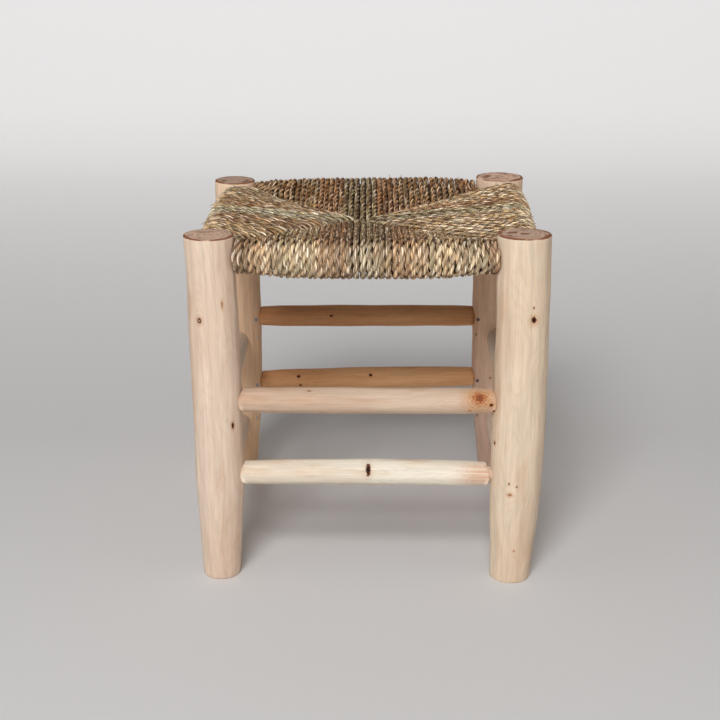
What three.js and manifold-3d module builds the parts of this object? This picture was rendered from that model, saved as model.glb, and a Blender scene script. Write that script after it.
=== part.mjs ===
// A low Moroccan kursi stool: four hewn posts, eight rungs and four seat rails joined by round tenons,
// nails that pin the rungs, and a seat of rush cord wound over the rails in four mitred panels.
// Millimetres, +Z up, the floor at zero, +X to the sitter's right and +Y towards the back.
import * as THREE from 'three';
import { mergeVertices } from 'three/addons/utils/BufferGeometryUtils.js';
import Module from 'manifold-3d';

const wasm = await Module();
wasm.setup();

// Overall frame and fits
const stoolHeight = 400; // the posts stand a little over or under it, each as it was sawn
const postSpanX = 336; // between the post centres, left to right
const postSpanY = 306; // between the post centres, front to back
const fitGap = 0.3; // clearance between pieces that touch
const cutOverrun = 2; // how far a cut runs past the face that it opens
const sawnChamfer = 1.2; // softened rim at the sawn ends of a post
const weldDistance = 0.0001; // vertices nearer than this are one vertex

// Posts: height over the stool's height, radii at the foot, belly and top, and how far the centre line
// stands off its corner at the foot, half way up and at the top, in X and Y.
const taperHeight = 112; // the posts are whittled thinner below this height
const posts = {
  front_left: {
    toX: -1, toY: -1, over: -1, foot: 20.9, belly: 27.3, top: 26.8,
    footOff: [1.9, 3.2], middleOff: [3.4, 1.6], topOff: [0, 0], turnShare: 0.05
  },
  front_right: {
    toX: 1, toY: -1, over: 0.3, foot: 22.3, belly: 29, top: 28.6,
    footOff: [-3.7, -2.9], middleOff: [0.9, -1.4], topOff: [-0.8, 0], turnShare: 0.31
  },
  back_left: {
    toX: -1, toY: 1, over: -1.8, foot: 21, belly: 28.8, top: 25.2,
    footOff: [-3.3, -0.3], middleOff: [0.9, -0.2], topOff: [-0.2, 0], turnShare: 0.62
  },
  back_right: {
    toX: 1, toY: 1, over: 2.6, foot: 21.3, belly: 29.4, top: 29.8,
    footOff: [5.7, -0.5], middleOff: [0, -0.3], topOff: [0, 0], turnShare: 0.84
  }
};
for (const post of Object.values(posts)) post.height = stoolHeight + post.over;
const postSides = 12;
const postHeightShares = [0.14, 0.25, 0.32, 0.5, 0.72, 0.88];
const hewnShare = 0.016; // how much the adze marks swell and flatten a round section

// Seat: how far the middle of the weave lies below the stool's height, and its thickness there
const seatDrop = 14.5;
const seatThickness = 28.5;
const seatTopZ = stoolHeight - seatDrop;
const seatUnderZ = seatTopZ - seatThickness;

// Rungs and seat rails: the two posts that hold each, its height at both, its radius in the middle
// and at the whittled ends, and how far it bows upwards. A rail's height is how far it lies below the
// top of the seat.
const rungTenonDepth = 22;
const railTenonDepth = 14;
const tenonRadius = 9;
const tenonRoot = 6; // how far a tenon's cylinder reaches back into its bar
const tenonSides = 10;
const barSides = 12;
const barRings = 6;
const rungs = {
  front_upper: { ends: ['front_left', 'front_right'], z: [211.5, 212], radius: 14.4, tip: 13.6, bow: -0.5 },
  front_lower: { ends: ['front_left', 'front_right'], z: [124, 124.5], radius: 14.2, tip: 13.3, bow: 2 },
  back_upper: { ends: ['back_left', 'back_right'], z: [217, 218], radius: 13.8, tip: 13, bow: 0.5 },
  back_lower: { ends: ['back_left', 'back_right'], z: [127, 134], radius: 13.9, tip: 12.9, bow: 1 },
  left_upper: { ends: ['front_left', 'back_left'], z: [190, 192], radius: 13, tip: 12.4, bow: 0.5 },
  left_lower: { ends: ['front_left', 'back_left'], z: [82, 79], radius: 13.2, tip: 12.5, bow: 0.5 },
  right_upper: { ends: ['front_right', 'back_right'], z: [190, 197], radius: 13, tip: 12.4, bow: 0 },
  right_lower: { ends: ['front_right', 'back_right'], z: [84, 84], radius: 13.2, tip: 12.5, bow: 1 }
};
const rails = {
  front: { ends: ['front_left', 'front_right'], below: [10, 10], radius: 15.3, tip: 11.8, bow: -3 },
  back: { ends: ['back_right', 'back_left'], below: [10.5, 11.5], radius: 15.3, tip: 11.8, bow: 3 },
  left: { ends: ['back_left', 'front_left'], below: [9, 9.5], radius: 14.8, tip: 12.2, bow: 0, aside: [2.5, 2.5] },
  right: { ends: ['front_right', 'back_right'], below: [9, 5], radius: 15, tip: 12.2, bow: 0, aside: [0, -7] }
};
for (const rail of Object.values(rails)) rail.z = rail.below.map((drop) => seatTopZ - drop);
const rungWhittle = 30; // length over which a rung narrows to its tip
const railWhittle = 75;

// Nails through the posts into the rung tenons
const nailLength = 25;
const nailRadius = 1.1;
const nailPoint = 3;
const nailHeadRadius = 2.4;
const nailHeadDepth = 0.9;
const nailHeadSunk = 0.5; // how deep the head's underside lies in the wood
const nailSides = 8;
const nailAimDepth = 14; // how deep in the tenon the nail aims
const frontBarBearingDeg = 38; // where the head sits round the post, off the X axis
const sideBarBearingDeg = 30;

// Weave: cord thickness, ridges beside the centre band on each half of a panel, and the band itself.
// A ridge stands for a pair of cords that lie side by side.
const cordThickness = 6.4;
const ridgesPerHalf = 10;
const bandRidges = 2;
const bandWidth = 29;
const bandShift = -7.5; // the band's middle lies this far from the seat's middle in X
const ridgeDepth = 2.1; // from the crest of a ridge to the groove beside it
const wrapSteps = 3; // half the straight steps that a wrap's half circle is made of
const liningRings = 6;

const woodPale = new THREE.Color(0.78, 0.62, 0.44);
const woodWarm = new THREE.Color(0.72, 0.53, 0.35);
const rushStraw = new THREE.Color(0.55, 0.44, 0.27);
const steelGrey = new THREE.Color(0.32, 0.33, 0.36);

// Turns a closed three.js geometry into a solid.
function solidOf(geometry) {
  const bare = geometry.clone();
  bare.deleteAttribute('normal');
  bare.deleteAttribute('uv');
  const merged = mergeVertices(bare, weldDistance);
  const vertProperties = merged.attributes.position.array;
  const triVerts = new Uint32Array(merged.index.array);
  return new wasm.Manifold(new wasm.Mesh({ numProp: 3, vertProperties, triVerts }));
}

// Turns a solid back into a geometry.
function geometryOf(solid) {
  const mesh = solid.getMesh();
  const geometry = new THREE.BufferGeometry();
  geometry.setAttribute('position', new THREE.BufferAttribute(mesh.vertProperties, 3));
  geometry.setIndex(new THREE.BufferAttribute(mesh.triVerts, 1));
  geometry.computeVertexNormals();
  return geometry;
}

function join(first, ...others) {
  return others.reduce((whole, other) => whole.add(other), first);
}

function cut(first, ...others) {
  return others.reduce((whole, other) => whole.subtract(other), first);
}

// A closed tube whose vertices are laid out by place(turn, ring, onSkin): turn goes round from 0 to 1,
// ring counts from 0 to rings, and onSkin is false at the centre of an end cap.
function loft(sides, rings, place) {
  const tube = new THREE.CylinderGeometry(1, 1, 1, sides, rings);
  const position = tube.attributes.position;
  const point = new THREE.Vector3();
  for (let i = 0; i < position.count; i++) {
    point.fromBufferAttribute(position, i);
    const onSkin = Math.hypot(point.x, point.z) > 0.5;
    const side = Math.round((Math.atan2(point.x, point.z) / (2 * Math.PI)) * sides);
    const turn = ((side + sides) % sides) / sides;
    const ring = Math.round((point.y + 0.5) * rings);
    position.setXYZ(i, ...place(turn, ring, onSkin));
  }
  return solidOf(tube);
}

// A round rod from one point to another.
function rod(from, to, radius) {
  const along = to.clone().sub(from);
  const rodShape = new THREE.CylinderGeometry(radius, radius, along.length(), tenonSides);
  rodShape.translate(0, along.length() / 2, 0);
  const turn = new THREE.Quaternion().setFromUnitVectors(new THREE.Vector3(0, 1, 0), along.normalize());
  rodShape.applyQuaternion(turn);
  rodShape.translate(from.x, from.y, from.z);
  return solidOf(rodShape);
}

// How a hewn section departs from a circle, as a factor on its radius.
function hewn(turn, along, turnShare) {
  const flat = Math.cos(2 * Math.PI * (2 * turn + turnShare));
  const wander = Math.cos(2 * Math.PI * (3 * turn + along + 2 * turnShare));
  return 1 + hewnShare * flat + (hewnShare / 2) * wander;
}

// Centre of a post at a height: a parabola through its places at the foot, half way up and at the top.
function postCentre(post, z) {
  const t = z / post.height;
  const corner = [(post.toX * postSpanX) / 2, (post.toY * postSpanY) / 2];
  const [x, y] = corner.map(
    (place, axis) =>
      place +
      post.footOff[axis] * (1 - t) * (1 - 2 * t) +
      post.middleOff[axis] * 4 * t * (1 - t) +
      post.topOff[axis] * t * (2 * t - 1)
  );
  return new THREE.Vector3(x, y, z);
}

function postRadius(post, z) {
  const low = Math.min(z / taperHeight, 1);
  const high = Math.max((z - taperHeight) / (post.height - taperHeight), 0);
  return post.foot + (post.belly - post.foot) * low + (post.top - post.belly) * high * high;
}

// The whole post before its mortises, thicker by grow all round.
function postBody(post, grow) {
  const top = post.height;
  const middle = postHeightShares.map((share) => share * top);
  const heights = [0, sawnChamfer, ...middle, top - sawnChamfer, top];
  const last = heights.length - 1;
  return loft(postSides, last, (turn, ring, onSkin) => {
    const z = heights[ring];
    const centre = postCentre(post, z);
    const softened = ring === 0 || ring === last ? sawnChamfer : 0;
    const radius = postRadius(post, z) * hewn(turn, z / top, post.turnShare) + grow - softened;
    const reach = onSkin ? radius : 0;
    const angle = 2 * Math.PI * turn;
    return [centre.x + reach * Math.cos(angle), centre.y + reach * Math.sin(angle), z];
  });
}

// The line of a bar from the axis of one post to the axis of the other.
function barLine(bar) {
  const points = bar.ends.map((name, end) => postCentre(posts[name], bar.z[end]));
  const [from, to] = points;
  const along = to.clone().sub(from).normalize();
  const aside = new THREE.Vector3(0, 0, 1).cross(along).normalize();
  points.forEach((point, end) => point.addScaledVector(aside, bar.aside ? bar.aside[end] : 0));
  along.copy(to).sub(from);
  const length = along.length();
  along.normalize();
  return { from, to, along, aside, length, bow: bar.bow };
}

function pointOnBar(line, share) {
  const point = line.from.clone().lerp(line.to, share);
  point.z += line.bow * Math.sin(Math.PI * share);
  return point;
}

// Radius of a bar at a share of its line, thinned towards the posts over the whittled length.
function barRadius(bar, line, share, whittle) {
  const fromEnds = [share, 1 - share].map(
    (part, end) => part * line.length - postRadius(posts[bar.ends[end]], bar.z[end])
  );
  const full = THREE.MathUtils.smoothstep(Math.min(...fromEnds), 0, whittle);
  return bar.tip + (bar.radius - bar.tip) * full;
}

function barBody(bar, line, whittle, turnShare, grow) {
  return loft(barSides, barRings, (turn, ring, onSkin) => {
    const share = ring / barRings;
    const radius = barRadius(bar, line, share, whittle) * hewn(turn, share, turnShare) + grow;
    const reach = onSkin ? radius : 0;
    const angle = 2 * Math.PI * (turn + 0.5 / barSides);
    const point = pointOnBar(line, share).addScaledVector(line.aside, reach * Math.cos(angle));
    return [point.x, point.y, point.z + reach * Math.sin(angle)];
  });
}

// Both ends of a bar: the post, the point on its axis and the direction out along the bar.
function barEnds(bar, line) {
  return [
    { post: posts[bar.ends[0]], name: bar.ends[0], on: line.from, outward: line.along.clone() },
    { post: posts[bar.ends[1]], name: bar.ends[1], on: line.to, outward: line.along.clone().negate() }
  ];
}

// A rod along a bar's end, from depth below the post's surface to reach above it.
function endRod(end, radius, depth, reach) {
  const surface = postRadius(end.post, end.on.z);
  const inner = end.on.clone().addScaledVector(end.outward, surface - depth);
  const outer = end.on.clone().addScaledVector(end.outward, surface + reach);
  return rod(inner, outer, radius);
}

// A nail's place: the middle of its head on the post's skin, and the way that its point goes.
function nailLine(end, bearingDeg) {
  const bearing = THREE.MathUtils.degToRad(bearingDeg);
  const surface = postRadius(end.post, end.on.z);
  const head = postCentre(end.post, end.on.z);
  head.x -= end.post.toX * surface * Math.cos(bearing);
  head.y -= end.post.toY * surface * Math.sin(bearing);
  const aim = end.on.clone().addScaledVector(end.outward, surface - nailAimDepth);
  return { head, inward: aim.sub(head).normalize() };
}

// A nail turned about its own axis, thicker by grow, with its head raised by lift.
function nailSolid(place, grow, lift) {
  const shank = nailRadius + grow;
  const brim = nailHeadRadius + grow;
  const outline = [
    [0, nailLength + grow],
    [shank, nailLength - nailPoint + grow],
    [shank, grow],
    [brim, grow],
    [brim, -nailHeadDepth - lift],
    [0, -nailHeadDepth - lift]
  ];
  const turned = new THREE.LatheGeometry(outline.map(([r, y]) => new THREE.Vector2(r, y)).reverse(), nailSides);
  const turn = new THREE.Quaternion().setFromUnitVectors(new THREE.Vector3(0, 1, 0), place.inward);
  const seat = place.head.clone().addScaledVector(place.inward, nailHeadSunk);
  turned.applyQuaternion(turn);
  turned.translate(seat.x, seat.y, seat.z);
  return solidOf(turned);
}

// Seat panels. Each follows its rail, whose sideways direction points to the seat's middle.

// Where a side panel ends on the centre band, seen from above.
const tips = {
  left: new THREE.Vector2(bandShift - bandWidth / 2, 0),
  right: new THREE.Vector2(bandShift + bandWidth / 2, 0)
};
const panelTips = {
  front: [tips.left, tips.right],
  back: [tips.right, tips.left],
  left: [tips.left, tips.left],
  right: [tips.right, tips.right]
};

// Inner corner of a post, where the first cords of two panels cross.
function postCorner(name) {
  const post = posts[name];
  const height = rails.front.z[0];
  const centre = postCentre(post, height);
  const clear = postRadius(post, height) * (1 + 2 * hewnShare) + fitGap;
  return new THREE.Vector2(centre.x - post.toX * clear, centre.y - post.toY * clear);
}

// Distances along a rail of the grooves and crests of its ridges, in turn.
function ridgeStations(start, bandStart, bandFinish, finish) {
  const runs = [
    [start, bandStart, ridgesPerHalf],
    [bandStart, bandFinish, bandFinish > bandStart ? bandRidges : 0],
    [bandFinish, finish, ridgesPerHalf]
  ];
  const stations = [start];
  for (const [from, to, ridges] of runs) {
    const halfPitch = (to - from) / (2 * ridges);
    for (let step = 1; step <= 2 * ridges; step++) stations.push(from + step * halfPitch);
  }
  return stations;
}

// Section of the weave across its rail, as pairs of a distance inwards from the rail and a height:
// up at the seat's middle, out over the top, round the rail and back along the underside.
function weaveSection(middle, railZ, wrapRadius, inset) {
  const outline = new THREE.Path();
  outline.moveTo(middle, seatUnderZ + inset);
  outline.lineTo(middle, seatTopZ - inset);
  outline.absarc(0, railZ, wrapRadius - inset, Math.PI / 2, 1.5 * Math.PI, false);
  return outline.getPoints(wrapSteps);
}

// A solid whose section follows a rail from station to station, each with its own inset.
function weaveLoft(bar, line, middle, stations, insets) {
  const sides = weaveSection(middle, 0, cordThickness, 0).length;
  return loft(sides, stations.length - 1, (turn, ring, onSkin) => {
    const share = stations[ring] / line.length;
    const wrap = barRadius(bar, line, share, railWhittle) * (1 + 2 * hewnShare) + fitGap + cordThickness;
    const on = pointOnBar(line, share);
    const section = weaveSection(middle, on.z, wrap, insets[ring]);
    const heart = new THREE.Vector2(middle / 2, (seatTopZ + seatUnderZ) / 2);
    const point = onSkin ? section[Math.round(turn * sides)] : heart;
    on.addScaledVector(line.aside, point.x);
    return [on.x, on.y, point.y];
  });
}

// The upright block that a panel keeps when it is mitred against its neighbours.
function mitreBlock(name, line) {
  const [firstTip, lastTip] = panelTips[name];
  const [first, last] = rails[name].ends.map(postCorner);
  const outwards = new THREE.Vector2(-line.aside.x, -line.aside.y);
  const far = outwards.clone().multiplyScalar(postSpanX / 2);
  const beyond = (tip, corner) => {
    const way = corner.clone().sub(tip);
    return tip.clone().add(way.setLength(way.length() + cutOverrun));
  };
  const firstBeyond = beyond(firstTip, first);
  const lastBeyond = beyond(lastTip, last);
  const outline = [firstTip.clone(), firstBeyond, firstBeyond.clone().add(far), lastBeyond.clone().add(far), lastBeyond];
  if (!lastTip.equals(firstTip)) outline.push(lastTip.clone());
  outline.forEach((corner) => corner.addScaledVector(outwards, fitGap));
  const depth = Math.max(...Object.values(posts).map((post) => post.height));
  return solidOf(new THREE.ExtrudeGeometry(new THREE.Shape(outline), { depth, bevelEnabled: false }));
}

function weavePanel(name) {
  const bar = rails[name];
  const line = barLine(bar);
  const across = (place, way) => (place.x - line.from.x) * way.x + (place.y - line.from.y) * way.y;
  const [start, finish] = bar.ends.map((post) => across(postCorner(post), line.along));
  const [bandStart, bandFinish] = panelTips[name].map((tip) => across(tip, line.along));
  const middle = across(panelTips[name][0], line.aside);
  const stations = ridgeStations(start, bandStart, bandFinish, finish);
  const grooves = stations.map((_, i) => (i % 2 ? 0 : ridgeDepth));
  const skin = weaveLoft(bar, line, middle, stations, grooves);
  const liningStart = start - cutOverrun;
  const liningStep = (finish + cutOverrun - liningStart) / liningRings;
  const liningStations = Array.from({ length: liningRings + 1 }, (_, i) => liningStart + i * liningStep);
  const lining = weaveLoft(
    bar,
    line,
    middle + cutOverrun,
    liningStations,
    liningStations.map(() => cordThickness)
  );
  return cut(skin, lining, barBody(bar, line, railWhittle, 0, fitGap)).intersect(mitreBlock(name, line));
}

// Builds the solids
const wood = () => new THREE.MeshStandardMaterial({ color: woodPale, roughness: 0.72, metalness: 0 });
const innerWood = () => new THREE.MeshStandardMaterial({ color: woodWarm, roughness: 0.8, metalness: 0 });
const rush = () => new THREE.MeshStandardMaterial({ color: rushStraw, roughness: 0.9, metalness: 0 });
const steel = () => new THREE.MeshStandardMaterial({ color: steelGrey, roughness: 0.45, metalness: 0.9 });

// A named mesh whose own origin is at the given place.
function piece(name, solid, material, origin) {
  const geometry = geometryOf(solid);
  geometry.translate(-origin.x, -origin.y, -origin.z);
  const mesh = new THREE.Mesh(geometry, material);
  mesh.name = name;
  mesh.position.copy(origin);
  return mesh;
}

const frame = new THREE.Group();
const seat = new THREE.Group();
const nails = new THREE.Group();
const postCuts = Object.fromEntries(Object.keys(posts).map((name) => [name, []]));
const grownPosts = Object.fromEntries(Object.entries(posts).map(([name, post]) => [name, postBody(post, fitGap)]));

// A bar with its tenons, its shoulders scribed to the posts, and the mortises that it leaves in them.
function barSolid(bar, line, whittle, tenonDepth, turnShare) {
  const ends = barEnds(bar, line);
  const body = cut(barBody(bar, line, whittle, turnShare, 0), ...ends.map((end) => grownPosts[end.name]));
  const tenons = ends.map((end) => endRod(end, tenonRadius, tenonDepth, tenonRoot));
  ends.forEach((end) => {
    postCuts[end.name].push(endRod(end, tenonRadius + fitGap, tenonDepth + fitGap, tenonRoot));
  });
  return join(body, ...tenons);
}

Object.entries(rungs).forEach(([name, bar], count) => {
  const line = barLine(bar);
  let solid = barSolid(bar, line, rungWhittle, rungTenonDepth, count / Object.keys(rungs).length);
  const bearing = Math.abs(line.along.x) > Math.abs(line.along.y) ? frontBarBearingDeg : sideBarBearingDeg;
  barEnds(bar, line).forEach((end, i) => {
    const place = nailLine(end, bearing);
    const bored = nailSolid(place, fitGap, end.post.belly);
    solid = cut(solid, bored);
    postCuts[end.name].push(bored);
    nails.add(piece(`nail_${name}_${i + 1}`, nailSolid(place, 0, 0), steel(), place.head));
  });
  frame.add(piece(`rung_${name}`, solid, wood(), pointOnBar(line, 0.5)));
});

for (const [name, bar] of Object.entries(rails)) {
  const line = barLine(bar);
  const solid = barSolid(bar, line, railWhittle, railTenonDepth, 0);
  frame.add(piece(`seat_rail_${name}`, solid, innerWood(), pointOnBar(line, 0.5)));
  seat.add(piece(`seat_weave_${name}`, weavePanel(name), rush(), pointOnBar(line, 0.5)));
}

for (const [name, post] of Object.entries(posts)) {
  frame.add(piece(`post_${name}`, cut(postBody(post, 0), ...postCuts[name]), wood(), postCentre(post, 0)));
}

const stool = new THREE.Group();
stool.add(frame, seat, nails);

// Puts the middle of the stool's outline over the origin.
const outer = new THREE.Box3().setFromObject(stool).getCenter(new THREE.Vector3());
stool.position.set(-outer.x, -outer.y, 0);

export default stool;
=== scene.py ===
"""The looks of a low Moroccan kursi stool: hewn posts and rungs, nails, and a seat wound from rush cord.

Metres, +Z up, +X to the right and +Y towards the back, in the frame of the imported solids.
"""

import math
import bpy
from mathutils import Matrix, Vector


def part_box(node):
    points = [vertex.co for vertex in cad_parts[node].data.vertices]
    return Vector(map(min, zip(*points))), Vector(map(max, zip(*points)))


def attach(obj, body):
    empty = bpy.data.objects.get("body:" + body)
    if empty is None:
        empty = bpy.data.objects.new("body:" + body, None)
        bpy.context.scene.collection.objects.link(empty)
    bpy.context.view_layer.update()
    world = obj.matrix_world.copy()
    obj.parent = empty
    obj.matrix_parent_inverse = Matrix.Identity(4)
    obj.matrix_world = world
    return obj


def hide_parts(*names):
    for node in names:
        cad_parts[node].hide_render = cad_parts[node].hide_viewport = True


bl_info = {
    "name": "Kursi stool",
    "version": (1, 0, 0),
    "blender": (4, 5, 0),
    "location": "3D View > Sidebar > Kursi stool",
    "description": "Models a low stool of hewn wood with a seat wound from twisted rush cord",
    "category": "Object",
}

from dataclasses import dataclass, field

import bmesh
import bpy
import numpy as np
from mathutils import Matrix, Vector

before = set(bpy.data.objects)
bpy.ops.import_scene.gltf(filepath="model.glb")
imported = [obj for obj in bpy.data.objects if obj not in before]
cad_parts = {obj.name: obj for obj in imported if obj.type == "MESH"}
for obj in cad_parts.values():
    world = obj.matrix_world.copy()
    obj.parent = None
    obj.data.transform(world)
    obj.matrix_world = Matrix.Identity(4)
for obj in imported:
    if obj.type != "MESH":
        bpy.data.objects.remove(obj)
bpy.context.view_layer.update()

TURN = 2 * math.pi
UP = Vector((0, 0, 1))

# Frame of the stool. The posts stand round the middle of a rectangle, which lies a little off the origin.
MIDDLE = Vector((-0.0013, 0.0009, 0))
POST_SPAN = (0.336, 0.306)
TAPER_HEIGHT = 0.112
FIT_GAP = 0.0003
SEAT_TOP = 0.3855
SEAT_UNDER = 0.357
BAND_TIPS = {"left": -0.022, "right": 0.007}


@dataclass
class Post:
    """A post: which corner, its height, radii at the foot, belly and top, and how far its centre line stands
    off the corner at the foot, half way up and at the top. Knots are (height, bearing in degrees, half of
    their width round the post, half of their length along it, kind). On the back posts the tints are painted
    light and shade: the post's own tint is painted shade under the seat, the foot tint is painted shading
    near the floor, and the crown tint paints the post lit above the seat. A foot or crown without a tint has
    the post's own. end_tone is how bright the sawn top is."""

    corner: tuple
    height: float
    radii: tuple
    offsets: tuple
    knots: list
    seed: int
    tint: tuple
    foot_shading_tint: tuple = None
    crown_light_tint: tuple = None
    end_tone: float = 0.95

    def centre(self, z):
        """Places on the centre line at heights z, as an array with X and Y in its last axis."""
        t = np.asarray(z, float)[..., None] / self.height
        foot, middle, top = (np.array(offset) for offset in self.offsets)
        corner = np.array(self.corner) * np.array(POST_SPAN) / 2 + np.array(MIDDLE[:2])
        return corner + foot * (1 - t) * (1 - 2 * t) + middle * 4 * t * (1 - t) + top * t * (2 * t - 1)

    def radius(self, z):
        foot, belly, top = self.radii
        low = np.minimum(np.asarray(z, float) / TAPER_HEIGHT, 1)
        high = np.maximum((z - TAPER_HEIGHT) / (self.height - TAPER_HEIGHT), 0)
        return foot + (belly - foot) * low + (top - belly) * high**2


@dataclass
class Bar:
    """A rung or seat rail: the posts that hold it, its height at both, its radius in the middle and at the
    whittled ends, how far it bows upwards and how far its ends stand aside of the posts' centres.
    Knots are (distance from the middle, angle round it in degrees, half of their width round the bar, half of
    their length along it, kind). stubs are the lengths of tenon that show at both ends."""

    ends: tuple
    z: tuple
    radius: float
    tip: float
    bow: float = 0
    aside_shift: tuple = (0, 0)
    whittle: float = 0.03
    knots: list = field(default_factory=list)
    seed: int = 0
    stubs: tuple = (0, 0)
    tint: tuple = (1, 1, 1)

    def __post_init__(self):
        start, finish = (Vector((*POSTS[end].centre(z), z)) for end, z in zip(self.ends, self.z))
        self.aside = UP.cross(finish - start).normalized()
        self.start = start + self.aside * self.aside_shift[0]
        self.finish = finish + self.aside * self.aside_shift[1]
        self.length = (self.finish - self.start).length
        self.along = (self.finish - self.start) / self.length

    def centre(self, share):
        """Places on the bar's line, as an array of X, Y and Z."""
        share = np.asarray(share, float)[..., None]
        line = np.array(self.start) + share * np.array(self.finish - self.start)
        return line + np.array(UP) * self.bow * np.sin(math.pi * share)

    def radius_at(self, share):
        near = [
            part * self.length - POSTS[end].radius(z)
            for part, end, z in zip((share, 1 - share), self.ends, self.z)
        ]
        full = np.clip(np.minimum(*near) / self.whittle, 0, 1)
        return self.tip + (self.radius - self.tip) * full**2 * (3 - 2 * full)


POSTS = {
    "front_left": Post(
        (-1, -1), 0.399, (0.0209, 0.0273, 0.0268), ((0.0019, 0.0032), (0.0034, 0.0016), (0, 0)),
        [
            (0.3098, -117, 0.0026, 0.003, "ring"), (0.1882, -47, 0.0019, 0.0034, "dark"),
            (0.3275, -61, 0.001, 0.004, "faint"), (0.225, 80, 0.003, 0.0034, "dark"),
        ],
        seed=11, tint=(0.985, 0.95, 0.94),
    ),
    "front_right": Post(
        (1, -1), 0.4003, (0.0223, 0.029, 0.0286), ((-0.0037, -0.0029), (0.0009, -0.0014), (-0.0008, 0)),
        [
            (0.3127, -72, 0.003, 0.0038, "dark"), (0.3259, -73, 0.0009, 0.0014, "dark"),
            (0.1113, -108, 0.0024, 0.0017, "faint"), (0.1242, -111, 0.0009, 0.0012, "dark"),
            (0.1215, -94, 0.0009, 0.0009, "dark"), (0.1665, -157, 0.0015, 0.002, "dark"),
            (0.0418, -90, 0.001, 0.001, "faint"), (0.27, 60, 0.003, 0.003, "ring"),
        ],
        seed=12, tint=(1, 0.985, 0.93), end_tone=0.9,
    ),
    # On the back posts the tints are painted shade under the seat, with painted light on the crown above it.
    "back_left": Post(
        (-1, 1), 0.3982, (0.021, 0.0288, 0.0252), ((-0.0033, -0.0003), (0.0009, -0.0002), (-0.0002, 0)),
        [
            (0.302, -150, 0.002, 0.0024, "dark"), (0.16, 100, 0.003, 0.0034, "ring"),
            (0.26, 40, 0.002, 0.0024, "dark"),
        ],
        seed=13, tint=(1, 0.84, 0.7), foot_shading_tint=(1.15, 1, 0.82), crown_light_tint=(1.1, 1, 0.9), end_tone=0.8,
    ),
    "back_right": Post(
        (1, 1), 0.4026, (0.0213, 0.0294, 0.0298), ((0.0057, -0.0005), (0, -0.0003), (0, 0)),
        [
            (0.141, -105, 0.0012, 0.0012, "dark"), (0.24, 60, 0.003, 0.0034, "ring"),
            (0.11, 120, 0.002, 0.003, "dark"),
        ],
        seed=14, tint=(1.08, 0.93, 0.82), foot_shading_tint=(0.78, 0.65, 0.63), crown_light_tint=(1.1, 1.02, 0.95),
        end_tone=1.12,
    ),
}
RUNGS = {
    "front_upper": Bar(
        ("front_left", "front_right"), (0.2115, 0.212), 0.0144, 0.0136, -0.0005,
        knots=[
            (0.122, 149, 0.0075, 0.0088, "swirl"), (0.1345, 180, 0.002, 0.0024, "dark"),
            (0.1377, -145, 0.0018, 0.0016, "dark"), (0.1113, -152, 0.0014, 0.0016, "faint"),
            (-0.065, 115, 0.0008, 0.0022, "dark"), (0.03, 20, 0.003, 0.003, "ring"),
        ], seed=21, tint=(0.84, 0.78, 0.74),
    ),
    "front_lower": Bar(
        ("front_left", "front_right"), (0.124, 0.1245), 0.0142, 0.0133, 0.002,
        knots=[
            (0.0008, 148, 0.0074, 0.003, "slit"), (-0.09, 10, 0.002, 0.003, "dark"),
            (0.128, 170, 0.02, 0.03, "blush"),
        ], seed=22, stubs=(0, 0.0042), tint=(1.1, 1.23, 1.29),
    ),
    # The back rungs' dark orange tints are partly painted shade under the seat and partly the wood's own
    # warmer colour.
    "back_upper": Bar(
        ("back_left", "back_right"), (0.217, 0.218), 0.0138, 0.013, 0.0005,
        knots=[(-0.047, 165, 0.0016, 0.0022, "dark"), (0.07, 30, 0.003, 0.003, "ring")], seed=23,
        tint=(0.83, 0.54, 0.33),
    ),
    "back_lower": Bar(
        ("back_left", "back_right"), (0.127, 0.134), 0.0139, 0.0129, 0.001,
        knots=[
            (-0.0913, 146, 0.002, 0.0024, "dark"), (-0.0887, -161, 0.002, 0.002, "dark"),
            (0.0041, 146, 0.002, 0.0022, "dark"), (0.09, 60, 0.003, 0.003, "ring"),
        ], seed=24, tint=(0.91, 0.63, 0.39),
    ),
    "left_upper": Bar(
        ("front_left", "back_left"), (0.19, 0.192), 0.013, 0.0124, 0.0005,
        knots=[(0.03, 60, 0.002, 0.003, "dark")], seed=25,
    ),
    "left_lower": Bar(
        ("front_left", "back_left"), (0.082, 0.079), 0.0132, 0.0125, 0.0005,
        knots=[(-0.05, 20, 0.002, 0.0026, "dark")], seed=26,
    ),
    "right_upper": Bar(
        ("front_right", "back_right"), (0.19, 0.197), 0.013, 0.0124, 0,
        knots=[(0.05, 150, 0.002, 0.003, "dark")], seed=27,
    ),
    "right_lower": Bar(
        ("front_right", "back_right"), (0.084, 0.084), 0.0132, 0.0125, 0.001,
        knots=[(-0.02, 170, 0.002, 0.003, "ring")], seed=28,
    ),
}
RAIL_WHITTLE = 0.075
RAILS = {
    "front": Bar(
        ("front_left", "front_right"), (0.3755, 0.3755), 0.0153, 0.0118, -0.003, whittle=RAIL_WHITTLE
    ),
    "back": Bar(("back_right", "back_left"), (0.375, 0.374), 0.0153, 0.0118, 0.003, whittle=RAIL_WHITTLE),
    "left": Bar(
        ("back_left", "front_left"), (0.3765, 0.376), 0.0148, 0.0122,
        aside_shift=(0.0025, 0.0025), whittle=RAIL_WHITTLE,
    ),
    "right": Bar(
        ("front_right", "back_right"), (0.3765, 0.3805), 0.015, 0.0122,
        aside_shift=(0, -0.007), whittle=RAIL_WHITTLE,
    ),
}

# Height of the cords on top of each mitre, at these shares of the way from the post to the mitre's tip.
MITRE_SHARES = (0, 0.25, 0.65, 1)
MITRE_HEIGHTS = {
    "front_left": (0.394, 0.3895, 0.3875, 0.386),
    "front_right": (0.3925, 0.3875, 0.3845, 0.385),
    "back_left": (0.392, 0.3865, 0.386, 0.386),
    "back_right": (0.3935, 0.3915, 0.389, 0.3865),
}

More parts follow.
